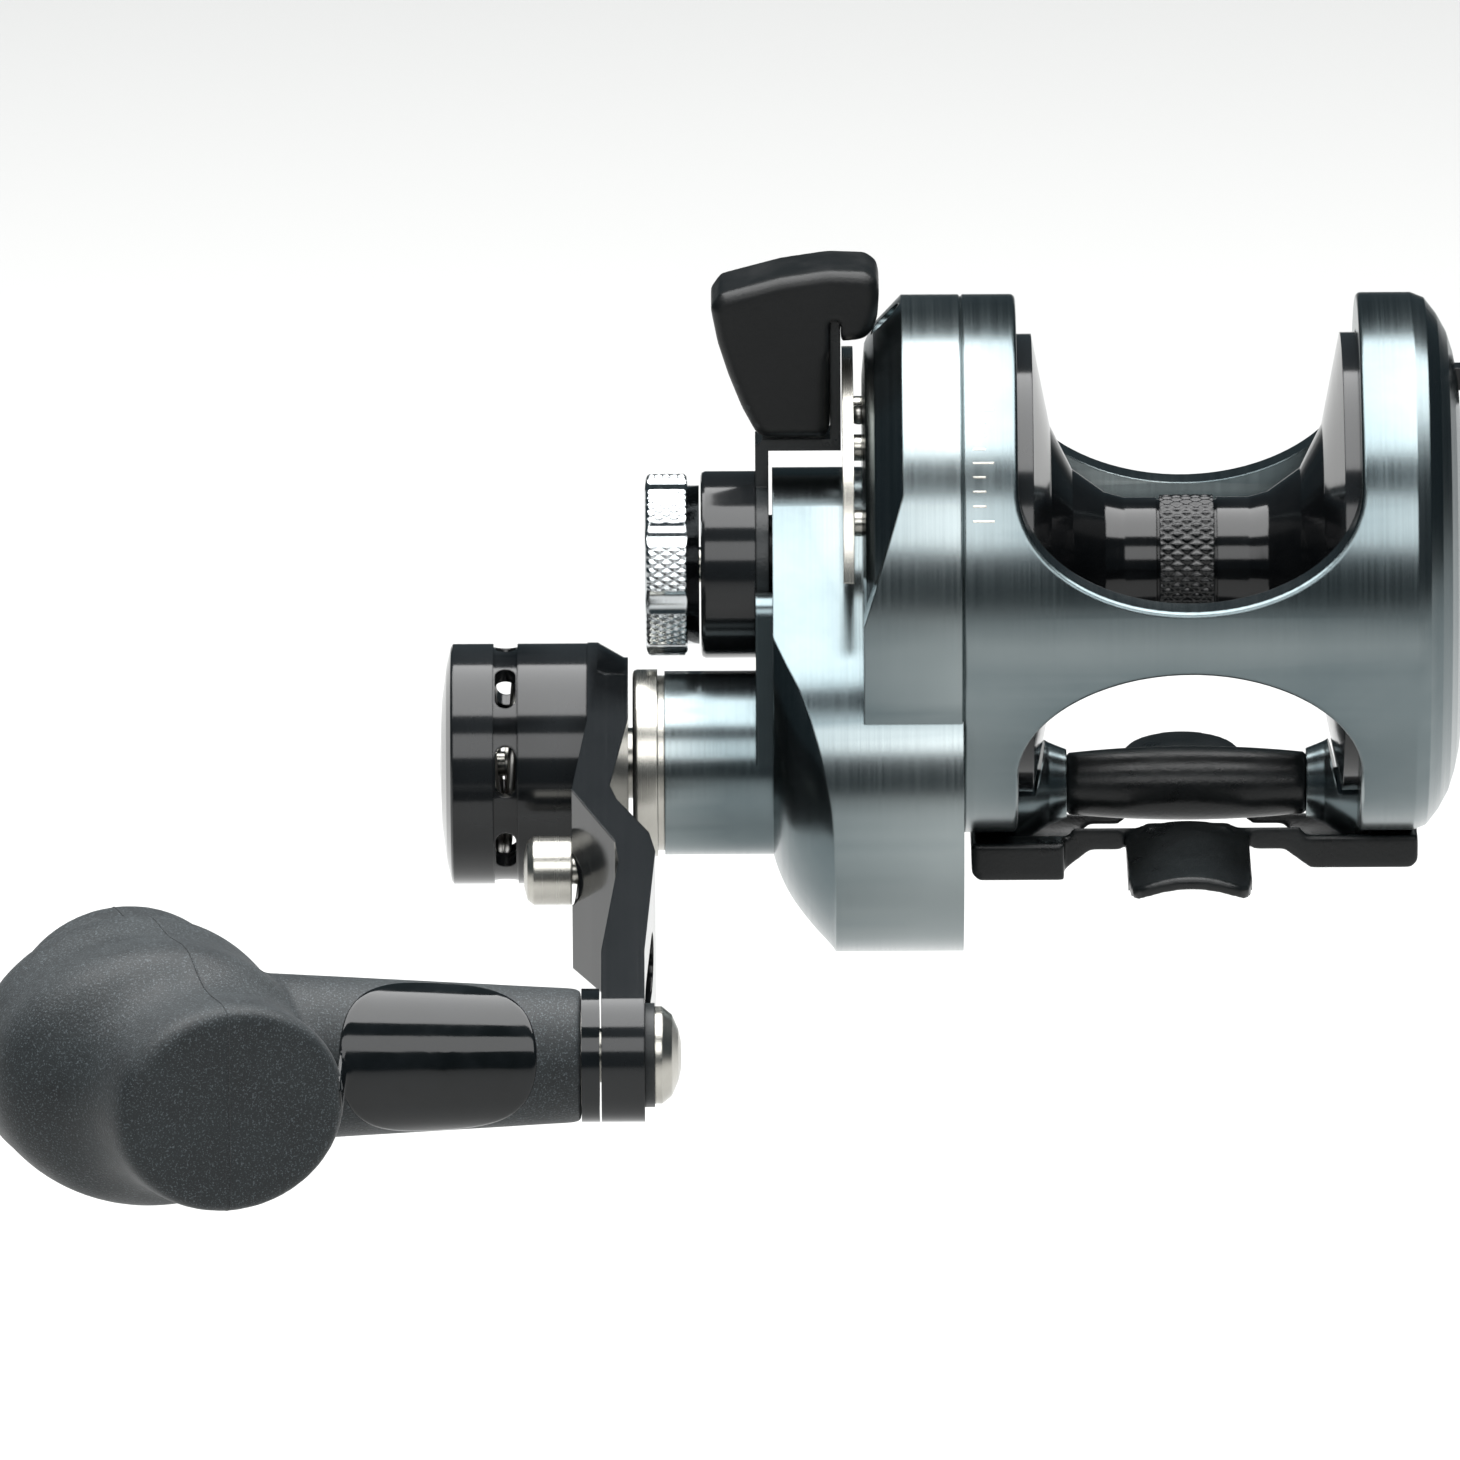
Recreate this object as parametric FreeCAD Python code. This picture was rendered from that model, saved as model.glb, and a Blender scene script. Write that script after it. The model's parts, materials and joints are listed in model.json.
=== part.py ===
import FreeCAD, Part
import math
import os

# Two-speed lever-drag trolling reel.
# +X runs along the spool axis, away from the handle. -Y is the rod tip side. +Z is up.
# The origin is the middle of the underside of the reel foot. All sizes are in millimetres.

# ---- driving sizes ----------------------------------------------------------------------------
frame_radius = 30.5         # frame rings and handle side plate
ring_wall = 4.2             # ring, outside the spool bore
ring_width = 7.0            # ring, along the spool axis
dome_height = 6.0           # far end wall, beyond its ring
end_wall = 2.4              # far end wall, thickness
spool_half_width = 17.5     # middle of the spool to a flange's inner rim edge
ring_inset = 1.0            # flange rim stands proud of the ring face by this much
foot_drop = 1.2             # frame's lowest line to the foot's underside
foot_length = 62.0
foot_width = 14.0
foot_arch = 1.8             # rise of the foot's underside at its middle
crossbar_radius = 3.5
crossbar_bulge = 0.7
crossbar_half_length = 13.6
crossbar_drop = 26.0        # spool axis to crossbar axis

plate_depth = 11.2          # handle side plate disc
plate_wall = 2.2
gear_plate_thickness = 1.8
gearbox_depth = 21.4        # parting face to the gearbox's outer face
gearbox_wall = 1.5
handle_drop = 20.7          # spool axis down to handle axis
handle_forward = 9.3        # spool axis forward to handle axis
boss_radius = 11.0          # gearbox round the spool axis
tower_radius = 10.4         # sleeve round the handle shaft
tower_length = 12.3
tower_ring_length = 2.8
tower_groove = 0.8

gear_tooth_sum = 78         # teeth of a gear and its pinion together
high_pinion_teeth = 12
low_pinion_teeth = 21
gear_width = 3.4
ratchet_teeth = 20
click_teeth = 24

spool_shaft_radius = 2.0
main_shaft_radius = 4.0
gear_seat_radius = 3.2
shaft_tail_radius = 2.5
shift_rod_radius = 1.4
running_gap = 0.05          # shafts and pins in their bores, radial
body_gap = 0.3              # pieces that move past each other
seat_gap = 0.02             # fixed pieces in their seats

lever_thickness = 1.5
lever_width = 6.0
lever_step_radius = 14.1    # where the lever turns along the gearbox
lever_run = 7.0             # length of that turned stretch
lever_reach = 5.2           # lever knob's top above the frame
cap_radius = 10.6
cap_length = 6.2
preset_radius = 10.3
preset_length = 4.85
quadrant_thickness = 1.25
quadrant_radius = 24.7
quadrant_inner = 16.2

hub_radius = 13.6
hub_base_length = 7.9
sleeve_length = 2.7
sleeve_radius = 13.2
sleeve_wall = 1.8
button_length = 6.2
button_travel = 2.3
hub_slot_sweep = 25.0       # degrees
arm_length = 72.0
arm_tip_radius = 7.4
arm_tilt = 101.0            # degrees from straight up, towards the rod tip
release_reach = 26.8        # handle axis to release pin
release_radius = 3.86

spindle_radius = 3.0
grip_half_length = 22.5
grip_yaw = 18.0             # degrees; the near end of the grip turns towards the reel
grip_end_radius = 11.7
grip_end_spread = 1.4       # how much wider than high the grip's ends are, each side
neck_length = 36.0
collar_length = 2.0

# ---- places worked out from them ------------------------------------------------------------
axis_height = frame_radius + foot_drop
spool_centre = (0.0, axis_height)
centre_distance = math.hypot(handle_forward, handle_drop)
handle_centre = (-handle_forward, axis_height - handle_drop)
to_spool = math.atan2(handle_drop, handle_forward)
spool_bore = frame_radius - ring_wall
spool_radius = spool_bore - body_gap
ring_face = spool_half_width + ring_inset
ring_end = ring_face + ring_width
parting = -ring_end
plate_face = parting - plate_depth
gearbox_face = parting - gearbox_depth
tower_end = gearbox_face - tower_length
tower_ring_end = tower_end - tower_groove - tower_ring_length
arm_back = tower_ring_end - 0.5
spool_end = spool_half_width + 3.2

gear_module = 2 * centre_distance / gear_tooth_sum
high_gear_teeth = gear_tooth_sum - high_pinion_teeth
low_gear_teeth = gear_tooth_sum - low_pinion_teeth
tooth_top = 0.8 * gear_module
tooth_foot = 1.0 * gear_module
pressure_angle = math.radians(25.0)
tooth_play = 0.04
high_gear_radius = gear_module * high_gear_teeth / 2
lobe_inner = high_gear_radius + tooth_top + body_gap
lobe_radius = lobe_inner + gearbox_wall

gear_plate_in = parting - gear_plate_thickness
low_gear_in = gear_plate_in - 1.0
low_gear_out = low_gear_in - gear_width
high_gear_in = low_gear_out - 0.6
high_gear_out = high_gear_in - gear_width
ratchet_in = high_gear_out - 0.5
ratchet_out = ratchet_in - 1.8
cavity_end = gearbox_face + 2.4      # round the drag cam
cavity_floor = gearbox_face + 4.4    # round the gears

lever_in = gearbox_face - body_gap - 0.1
lever_out = lever_in - lever_thickness
cap_end = lever_out - cap_length
preset_neck = cap_end - 0.2
preset_start = preset_neck - 1.3
preset_end = preset_start - preset_length
lever_tab_out = lever_out + lever_run + lever_thickness
lever_tab_in = lever_tab_out + 1.2
lever_top = frame_radius + lever_reach

arm_thickness = 4.6
hub_start = arm_back - arm_thickness
sleeve_start = hub_start - hub_base_length
button_skirt = sleeve_start - sleeve_length
button_top = button_skirt - button_length

tip_face = arm_back + 1.9
grip_start = hub_start + 1.7 - 0.2
neck_end = grip_start - neck_length

DEGREE = math.pi / 180


# ---- shape helpers ------------------------------------------------------------------------------
def point(x, y, z):
    return FreeCAD.Vector(x, y, z)


def lathe(profile, centre):
    """Turn a closed (x, radius) outline about the line along X through centre."""
    y, z = centre
    corners = [point(x, y, z + radius) for x, radius in profile]
    face = Part.Face(Part.makePolygon(corners + corners[:1]))
    return face.revolve(point(0, y, z), point(1, 0, 0), 360)


def rod(x_low, x_high, radius, centre):
    y, z = centre
    return Part.makeCylinder(radius, x_high - x_low, point(x_low, y, z), point(1, 0, 0))


def tube(x_low, x_high, outer, inner, centre):
    return rod(x_low, x_high, outer, centre).cut(rod(x_low - 1, x_high + 1, inner, centre))


def block(x_range, y_range, z_range):
    size = [high - low for low, high in (x_range, y_range, z_range)]
    return Part.makeBox(size[0], size[1], size[2], point(x_range[0], y_range[0], z_range[0]))


def prism_x(outline, x_low, x_high):
    """Extrude a (y, z) outline along X."""
    corners = [point(x_low, y, z) for y, z in outline]
    return Part.Face(Part.makePolygon(corners + corners[:1])).extrude(point(x_high - x_low, 0, 0))


def prism_y(outline, y_low, y_high):
    """Extrude an (x, z) outline along Y."""
    corners = [point(x, y_low, z) for x, z in outline]
    return Part.Face(Part.makePolygon(corners + corners[:1])).extrude(point(0, y_high - y_low, 0))


def belt_wire(x, centre_a, radius_a, centre_b, radius_b):
    """Outline of a belt round two circles, in a plane across X."""
    along = math.atan2(centre_b[1] - centre_a[1], centre_b[0] - centre_a[0])
    gap = math.hypot(centre_b[0] - centre_a[0], centre_b[1] - centre_a[1])
    lean = math.acos((radius_a - radius_b) / gap)

    def rim(centre, radius, angle):
        return point(x, centre[0] + radius * math.cos(angle), centre[1] + radius * math.sin(angle))

    a_left = rim(centre_a, radius_a, along + lean)
    a_back = rim(centre_a, radius_a, along + math.pi)
    a_right = rim(centre_a, radius_a, along - lean)
    b_left = rim(centre_b, radius_b, along + lean)
    b_front = rim(centre_b, radius_b, along)
    b_right = rim(centre_b, radius_b, along - lean)
    edges = [Part.Arc(a_left, a_back, a_right).toShape(),
             Part.LineSegment(a_right, b_right).toShape(),
             Part.Arc(b_right, b_front, b_left).toShape(),
             Part.LineSegment(b_left, a_left).toShape()]
    return Part.Wire(edges)


def belt(x_low, x_high, centre_a, radius_a, centre_b, radius_b):
    wire = belt_wire(x_low, centre_a, radius_a, centre_b, radius_b)
    return Part.Face(wire).extrude(point(x_high - x_low, 0, 0))


def around(shape, centre, degrees):
    turned = shape.copy()
    turned.rotate(point(0, centre[0], centre[1]), point(1, 0, 0), degrees)
    return turned


def from_axis(centre, radius, degrees):
    """A place at an angle about an axis; 0 is towards +Y and 90 is up."""
    return (centre[0] + radius * math.cos(degrees * DEGREE),
            centre[1] + radius * math.sin(degrees * DEGREE))


def involute(angle):
    return math.tan(angle) - angle


def gear_outline(teeth, centre, first_tooth):
    pitch = gear_module * teeth / 2
    base = pitch * math.cos(pressure_angle)
    root = pitch - tooth_foot
    tip = pitch + tooth_top
    half_pitch_tooth = math.pi / (2 * teeth) - tooth_play / pitch
    flank = []
    for share in (0.0, 0.5, 1.0):
        radius = max(base, root) + share * (tip - max(base, root))
        half = half_pitch_tooth + involute(pressure_angle) - involute(math.acos(base / radius))
        flank.append((radius, half))
    outline = []
    for tooth in range(teeth):
        middle = first_tooth + tooth * 2 * math.pi / teeth
        spots = [(root, -flank[0][1] - 0.004)]
        spots += [(radius, -half) for radius, half in flank]
        spots += [(radius, half) for radius, half in reversed(flank)]
        spots.append((root, flank[0][1] + 0.004))
        for radius, turn in spots:
            outline.append((centre[0] + radius * math.cos(middle + turn),
                            centre[1] + radius * math.sin(middle + turn)))
    return outline


def gear(teeth, x_low, x_high, bore, centre, first_tooth):
    blank = prism_x(gear_outline(teeth, centre, first_tooth), x_low, x_high)
    return blank.cut(rod(x_low - 1, x_high + 1, bore, centre))


def ratchet(teeth, x_low, x_high, tip, root, bore, centre, first_tooth):
    """Saw teeth: a long slope up to each tip, then straight down."""
    outline = []
    step = 2 * math.pi / teeth
    for tooth in range(teeth):
        start = first_tooth + tooth * step
        for radius, turn in ((root, 0.0), (tip, step * 0.92)):
            outline.append((centre[0] + radius * math.cos(start + turn),
                            centre[1] + radius * math.sin(start + turn)))
    return prism_x(outline, x_low, x_high).cut(rod(x_low - 1, x_high + 1, bore, centre))


def ball_bearing(x_low, x_high, outer, inner, centre):
    """Two races with a ring of balls between them, and shields, as one sealed unit."""
    middle = (outer + inner) / 2
    land = (outer - inner) * 0.28
    races = [tube(x_low, x_high, outer, outer - land, centre),
             tube(x_low, x_high, inner + land, inner, centre)]
    shield = tube(x_low + 0.25, x_high - 0.25, outer - land, inner + land, centre)
    for race in races:
        shield = shield.fuse(race)
    groove = tube(x_low - 1, x_low + 0.25, middle + 0.35, middle - 0.35, centre)
    return shield.cut(groove).removeSplitter()


def screw(x_head, x_tip, head_radius, shank_radius, centre, outward):
    """Cap screw along X; outward is -1 or 1, the way its head faces."""
    head_height = head_radius * 0.7
    ends = sorted((x_head, x_head + outward * head_height))
    head = rod(ends[0], ends[1], head_radius, centre)
    socket_x = sorted((ends[0] if outward < 0 else ends[1],
                       x_head + outward * head_height * 0.35))
    socket = rod(socket_x[0], socket_x[1], head_radius * 0.5, centre)
    shank_x = sorted((x_head, x_tip))
    return head.cut(socket).fuse(rod(shank_x[0], shank_x[1], shank_radius, centre))


# ---- frame and foot -----------------------------------------------------------------------------
opening_half = 19.3
upper_floor = 2.3           # lowest line of the upper opening above the spool axis
upper_depth = 13.2
lower_roof = -5.1
lower_depth = 12.9
window_round = 0.6
parting_chamfer = 0.25
end_cavity = spool_end + 0.6
end_inner = ring_end + dome_height - end_wall
click_slot_radius = 21.6
click_travel = 3.0
click_plane = end_cavity + 1.0
click_radius = 8.6
tail_radius = 6.0
tail_depth = 1.2
boss_flare = 7.2            # crossbar boss where it meets the ring


def window(z_round, depth, upward):
    """A tunnel along Y with straight sides and a half-elliptic end."""
    reach = frame_radius * 2
    z_line = axis_height + z_round
    centre = point(0, -reach, z_line)
    ellipse = Part.Ellipse(point(opening_half, -reach, z_line),
                           point(0, -reach, z_line - upward * depth), centre)
    rounded = Part.Face(Part.Wire(ellipse.toShape())).extrude(point(0, 2 * reach, 0))
    z_far = z_line + upward * reach
    z_range = (min(z_line, z_far), max(z_line, z_far))
    return rounded.fuse(block((-opening_half, opening_half), (-reach, reach), z_range)).removeSplitter()


def flange_outline():
    """Inner side of a spool flange, from the rim down to the arbor."""
    return [(spool_half_width, spool_radius),
            (spool_half_width - 2.1, spool_radius * 0.6),
            (spool_half_width - 4.6, spool_radius * 0.41),
            (spool_half_width - 8.3, 8.0),
            (spool_half_width - 10.5, 7.4)]


def make_frame():
    dome = [(ring_end, frame_radius), (ring_end + 1.5, frame_radius - 0.6),
            (ring_end + 2.9, frame_radius - 2.4), (ring_end + 4.0, frame_radius - 4.4),
            (ring_end + 4.7, frame_radius - 6.6), (ring_end + 5.2, frame_radius - 9.0),
            (ring_end + 5.6, frame_radius - 13.4), (ring_end + dome_height, 9.0)]
    start = [(parting, 0), (parting, frame_radius - parting_chamfer), (parting + parting_chamfer, frame_radius)]
    body = lathe(start + dome + [(ring_end + dome_height, 0)], spool_centre)
    body = body.cut(rod(parting - 1, end_cavity, spool_bore, spool_centre))
    hollow = [(end_cavity, 0), (end_cavity, spool_bore), (ring_end + 0.4, spool_bore),
              (end_inner - 1.6, frame_radius - 8.4), (end_inner, frame_radius - 14.0), (end_inner, 0)]
    body = body.cut(lathe(hollow, spool_centre))
    upper_round = upper_floor + upper_depth
    body = body.cut(window(upper_round, upper_depth, 1))
    body = body.cut(window(lower_roof - lower_depth, lower_depth, -1))
    bar_centre = (0.0, axis_height - crossbar_drop)
    flange_room = [(ring_end + 1, 0), (ring_end + 1, spool_bore + 0.1), (spool_half_width - body_gap, spool_bore + 0.1)]
    flange_room += [(x - 0.5, r) for x, r in flange_outline()[1:]] + [(spool_half_width - 10.5, 0)]
    for side in (-1, 1):
        boss = lathe([(side * crossbar_half_length, 0), (side * crossbar_half_length, crossbar_radius + 0.4),
                      (side * 15.6, crossbar_radius + 1.2), (side * 17.6, crossbar_radius + 2.4),
                      (side * (ring_face + 1.2), boss_flare), (side * (ring_face + 1.2), 0)], bar_centre)
        room = lathe([(side * x, r) for x, r in flange_room], spool_centre)
        body = body.fuse(boss.cut(room))
    shaft_boss = rod(end_inner - 3.4, end_inner + 0.5, 5.0, spool_centre)
    body = body.fuse(shaft_boss)
    body = body.cut(rod(end_inner - 5, ring_end + dome_height + 1, spool_shaft_radius + seat_gap, spool_centre))
    body = body.cut(rod(ring_end + dome_height - tail_depth, ring_end + dome_height + 1, tail_radius, spool_centre))
    slot_z = axis_height + click_slot_radius
    slot = block((end_cavity + 1, ring_end + dome_height + 3), (-1.6, 1.6),
                 (slot_z - click_travel - 1.6, slot_z + 1.6))
    body = body.cut(slot)
    for z in screw_places():
        body = body.cut(rod(parting - 1, parting + 6, 0.8, z))
    for y, z in foot_screw_places():
        for x in foot_screw_x():
            body = body.cut(Part.makeCylinder(0.9, 5, point(x, y, z - 2.5), point(0, 0, 1)))
    body = body.removeSplitter()
    return body.makeFillet(window_round, window_rims(body))


def window_rims(body):
    """Edges where the openings meet the outer cylinder."""
    rims = []
    for edge in body.Edges:
        low, high = edge.FirstParameter, edge.LastParameter
        spots = [edge.valueAt(low + (high - low) * share / 6) for share in range(7)]
        off = max(abs(math.hypot(spot.y, spot.z - axis_height) - frame_radius) for spot in spots)
        if off < 0.02 and max(abs(spot.x) for spot in spots) < opening_half + 0.05:
            rims.append(edge)
    return rims


def screw_places():
    return [from_axis(spool_centre, spool_bore + ring_wall / 2, angle) for angle in (15, 50, 88, 325)]


def foot_screw_x():
    return [-(ring_face + ring_width / 2), ring_face + ring_width / 2]


def foot_screw_places():
    return [(0.0, axis_height - frame_radius + 0.6)]


def make_crossbar():
    bar_centre = (0.0, axis_height - crossbar_drop)
    half = crossbar_half_length
    outline = [(-half, 0), (-half, crossbar_radius - 0.3), (-half + 0.4, crossbar_radius),
               (-half * 0.5, crossbar_radius + crossbar_bulge * 0.4), (0, crossbar_radius + crossbar_bulge),
               (half * 0.5, crossbar_radius + crossbar_bulge * 0.4),
               (half - 0.4, crossbar_radius), (half, crossbar_radius - 0.3), (half, 0)]
    return lathe(outline, bar_centre)


foot_crown = 3.3            # top of the foot's crown above its underside corners
ear_top = axis_height - frame_radius
ear_bottom = -3.15
left_ear = (-(spool_half_width + 7.0), -14.0, -9.5)
right_ear = (13.5, spool_half_width + 8.7, -5.4)


def make_foot():
    """A saddle that seats the frame and crossbar, on a long arched foot for the rod's seat."""
    half_width = foot_width / 2
    arch_radius = (half_width ** 2 + foot_arch ** 2) / (2 * foot_arch)
    arch_z = foot_arch - arch_radius
    low = Part.makeCylinder(arch_radius, foot_length + 2, point(0, -foot_length / 2 - 1, arch_z), point(0, 1, 0))
    high = Part.makeCylinder(arch_radius, foot_length + 2,
                             point(0, -foot_length / 2 - 1, foot_crown - arch_radius), point(0, 1, 0))
    tip = -foot_length / 2
    plan = [(-half_width, tip + 6.0), (-half_width + 0.4, tip + 1.6), (-half_width + 1.4, tip + 0.3),
            (-half_width + 2.6, tip), (half_width - 2.6, tip), (half_width - 1.4, tip + 0.3),
            (half_width - 0.4, tip + 1.6), (half_width, tip + 6.0)]
    plan += [(x, -y) for x, y in reversed(plan)]
    corners = [point(x, y, -1) for x, y in plan]
    outline = Part.Face(Part.makePolygon(corners + corners[:1])).extrude(point(0, 0, foot_crown + 2))
    foot = high.common(outline).common(block((-40, 40), (-40, 40), (0, 20))).cut(low)
    bar_bottom = axis_height - crossbar_drop - crossbar_radius
    front, back = left_ear[2], -left_ear[2]
    saddle = [(left_ear[0], ear_top), (left_ear[0], ear_bottom + 0.8), (left_ear[0] + 0.8, ear_bottom),
              (left_ear[1] - 0.5, ear_bottom), (-11.0, -0.4), (-half_width + 0.6, -0.4),
              (half_width - 0.6, -0.4), (11.0, -0.4), (right_ear[0] + 0.5, ear_bottom + 0.5),
              (right_ear[1] - 0.8, ear_bottom + 0.5), (right_ear[1], ear_bottom + 1.3),
              (right_ear[1], ear_top), (right_ear[0], ear_top), (12.4, bar_bottom + 1.4),
              (-12.4, bar_bottom + 1.4), (left_ear[1] + 0.4, ear_top)]
    body = prism_y(saddle, right_ear[2] - 1.2, 5.4)
    left_block = prism_y([(left_ear[0], ear_top), (left_ear[0], ear_bottom + 0.8), (left_ear[0] + 0.8, ear_bottom),
                          (left_ear[1], ear_bottom), (left_ear[1], ear_top)], front, back * 0.8)
    body = body.fuse(left_block)
    body = body.cut(block((-half_width + 0.4, half_width - 0.4), (-12, 12), (-6, 0.8)))
    neck = prism_y([(-half_width + 0.2, 1.0), (-4.6, bar_bottom + 0.8), (4.6, bar_bottom + 0.8),
                    (half_width - 0.2, 1.0)], -9.0, 9.0)
    body = body.fuse(neck).fuse(foot)
    body = body.cut(low)
    bar = rod(-crossbar_half_length - 0.6, crossbar_half_length + 0.6, crossbar_radius + crossbar_bulge + 0.05,
              (0.0, axis_height - crossbar_drop))
    body = body.cut(bar)
    body = body.cut(rod(parting + 0.01, ring_end + 3, frame_radius + 0.01, spool_centre).cut(
        rod(-crossbar_half_length, crossbar_half_length, frame_radius + 1, spool_centre)))
    boss_room = rod(-ring_face - 2, ring_face + 2, boss_flare + 0.05, (0.0, axis_height - crossbar_drop))
    body = body.cut(boss_room.cut(rod(-crossbar_half_length, crossbar_half_length, 20, spool_centre)))
    for y, z in foot_screw_places():
        for x in foot_screw_x():
            body = body.cut(Part.makeCylinder(0.9, 8, point(x, y, ear_bottom - 1), point(0, 0, 1)))
            body = body.cut(Part.makeCylinder(1.9, 2.6, point(x, y, ear_bottom - 1), point(0, 0, 1)))
    return body.removeSplitter()


def make_foot_screws():
    screws = []
    for y, z in foot_screw_places():
        for x in foot_screw_x():
            head = Part.makeCylinder(1.7, 1.3, point(x, y, ear_bottom + 0.3), point(0, 0, 1))
            head = head.cut(Part.makeCylinder(0.8, 0.7, point(x, y, ear_bottom + 0.2), point(0, 0, 1)))
            screws.append(head.fuse(Part.makeCylinder(0.85, 3.4, point(x, y, ear_bottom + 1.5), point(0, 0, 1))))
    return Part.makeCompound(screws)


# ---- handle side plate ------------------------------------------------------------------------
bevel_start = 4.5           # bevelled band of the side plate, along X
pad_depth = 1.95
plate_cavity = spool_bore - 0.3
dome_sections = [(0.0, 0.363, 0.848), (0.5, 0.317, 0.876), (1.9, 0.242, 0.941), (3.5, 0.179, 0.985),
                 (4.9, 0.128, 1.013), (6.0, 0.084, 1.025), (7.0, 0.0, 1.005)]    # depth, rise and radius by lobe


def dome_shape():
    """The gearbox's turned end: round low on the lobe, fading out up its flanks."""
    wires = []
    for depth, shift, share in dome_sections:
        low = along_gearbox(shift * lobe_radius)
        high = along_gearbox(shift * lobe_radius + 3 * centre_distance)
        wires.append(belt_wire(gearbox_face + depth, high, share * lobe_radius, low, share * lobe_radius))
    end = gearbox_face + dome_sections[-1][0]
    rest = belt(end, parting, along_gearbox(3 * centre_distance), 2 * lobe_radius, handle_centre, 2 * lobe_radius)
    return Part.makeLoft(wires, True, False).fuse(rest)


def along_gearbox(distance):
    """A place on the line from the handle axis towards the spool axis."""
    return from_axis(handle_centre, distance, to_spool / DEGREE)


def make_side_plate():
    face = plate_face
    edge = [(parting, 0), (parting, frame_radius - parting_chamfer), (parting - parting_chamfer, frame_radius)]
    rim = edge + [(face + bevel_start, frame_radius),
           (face + 1.3, frame_radius - 3.3), (face + 0.3, frame_radius - 5.5), (face, frame_radius - 9.0), (face, 0)]
    body = lathe(rim, spool_centre)
    full = lathe(edge + [(face, frame_radius), (face, 0)], spool_centre)
    fill = prism_y([(face + bevel_start, axis_height + frame_radius * 0.5), (face - 0.01, axis_height + 0.85),
                    (face - 0.01, axis_height - frame_radius - 1),
                    (parting, axis_height - frame_radius - 1), (parting, axis_height + frame_radius * 0.5)],
                   -frame_radius - 1, 0)
    body = body.fuse(full.common(fill))
    gearbox = belt(gearbox_face, parting, spool_centre, boss_radius, handle_centre, lobe_radius)
    body = body.fuse(gearbox.common(dome_shape()))
    body = body.fuse(rod(tower_end, gearbox_face + 3, tower_radius, handle_centre))
    stop = (handle_centre[0] - 5.3, handle_centre[1] + 18.8)
    pad = belt(gearbox_face - pad_depth, gearbox_face + 3, handle_centre, tower_radius - 0.05, stop, 2.5)
    pad = pad.cut(rod(gearbox_face - pad_depth - 1, gearbox_face + 4, cap_radius + 0.4, spool_centre))
    body = body.fuse(pad)
    cavity = belt(cavity_floor, parting + 1, spool_centre, boss_radius - 3.4, handle_centre, lobe_inner - 5.2)
    cavity = cavity.fuse(rod(cavity_end, parting + 1, boss_radius - 3.4, spool_centre))
    cavity = cavity.fuse(rod(gearbox_face + 7.6, parting + 1, lobe_inner, handle_centre))
    cavity = cavity.fuse(lathe([(face + plate_wall, 0), (face + plate_wall, plate_cavity - 3.0),
                                (face + plate_wall + 2.6, plate_cavity), (parting + 1, plate_cavity),
                                (parting + 1, 0)], spool_centre))
    body = body.cut(cavity)
    seat = rod(gear_plate_in, parting + 1, plate_cavity + 0.8, spool_centre)
    seat = seat.fuse(rod(gear_plate_in, parting + 1, lobe_inner + 0.5, handle_centre))
    body = body.cut(seat)
    body = body.cut(rod(tower_end - 1, cavity_floor + 1, main_shaft_radius + 2, handle_centre))
    body = body.cut(rod(tower_end - 1, tower_end + 5, tower_bearing_radius, handle_centre))
    body = body.cut(rod(gearbox_face - 2, gearbox_face + 4, cam_radius + body_gap, spool_centre))
    for place in screw_places():
        if math.hypot(place[0] - handle_centre[0], place[1] - handle_centre[1]) > lobe_radius + 2:
            body = body.cut(rod(face - 1, parting + 1, 0.9, place))
            body = body.cut(rod(face - 1, face + 6.5, 1.75, place))
    for angle in quadrant_post_angles:
        body = body.cut(rod(face - 1, face + 1.6, 0.8, from_axis(spool_centre, quadrant_post_radius, angle)))
    for angle in dog_angles:
        body = body.cut(rod(cavity_floor - dog_pin_socket, cavity_floor + 1, dog_pin_radius, make_dog(angle)[1]))
    detent = from_axis(spool_centre, detent_radius, detent_angle)
    body = body.cut(rod(face - 1, face + 1.87, 1.35, detent))
    return body.removeSplitter()


tower_bearing_radius = 8.0
cam_radius = 5.6
quadrant_post_radius = 18.0
quadrant_post_angles = (62, 118, 150, 192)
detent_radius = 18.6
detent_angle = 100
quadrant_start = 170
quadrant_sweep = 118
post_gap = 1.0


def make_side_screws():
    screws = []
    for place in screw_places():
        if math.hypot(place[0] - handle_centre[0], place[1] - handle_centre[1]) > lobe_radius + 2:
            screws.append(screw(plate_face + 6.5, parting + 5, 1.6, 0.75, place, -1))
    return Part.makeCompound(screws)


def make_gear_plate():
    plate = rod(gear_plate_in, parting, plate_cavity + 0.8 - seat_gap, spool_centre)
    plate = plate.fuse(rod(gear_plate_in, parting, lobe_inner + 0.5 - seat_gap, handle_centre))
    plate = plate.cut(tube(parting - 5, parting + 5, frame_radius * 2, frame_radius - 0.6, spool_centre).cut(
        rod(parting - 6, parting + 6, lobe_inner + 0.5, handle_centre)))
    plate = plate.fuse(rod(gear_plate_in - 0.7, gear_plate_in + 0.5, 6.4, handle_centre))
    plate = plate.cut(rod(gear_plate_in - 2, parting - 0.4, tail_bearing_radius, handle_centre))
    return plate.cut(rod(gear_plate_in - 2, parting + 1, 5.0, spool_centre)).removeSplitter()


tail_bearing_radius = 5.0


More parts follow.
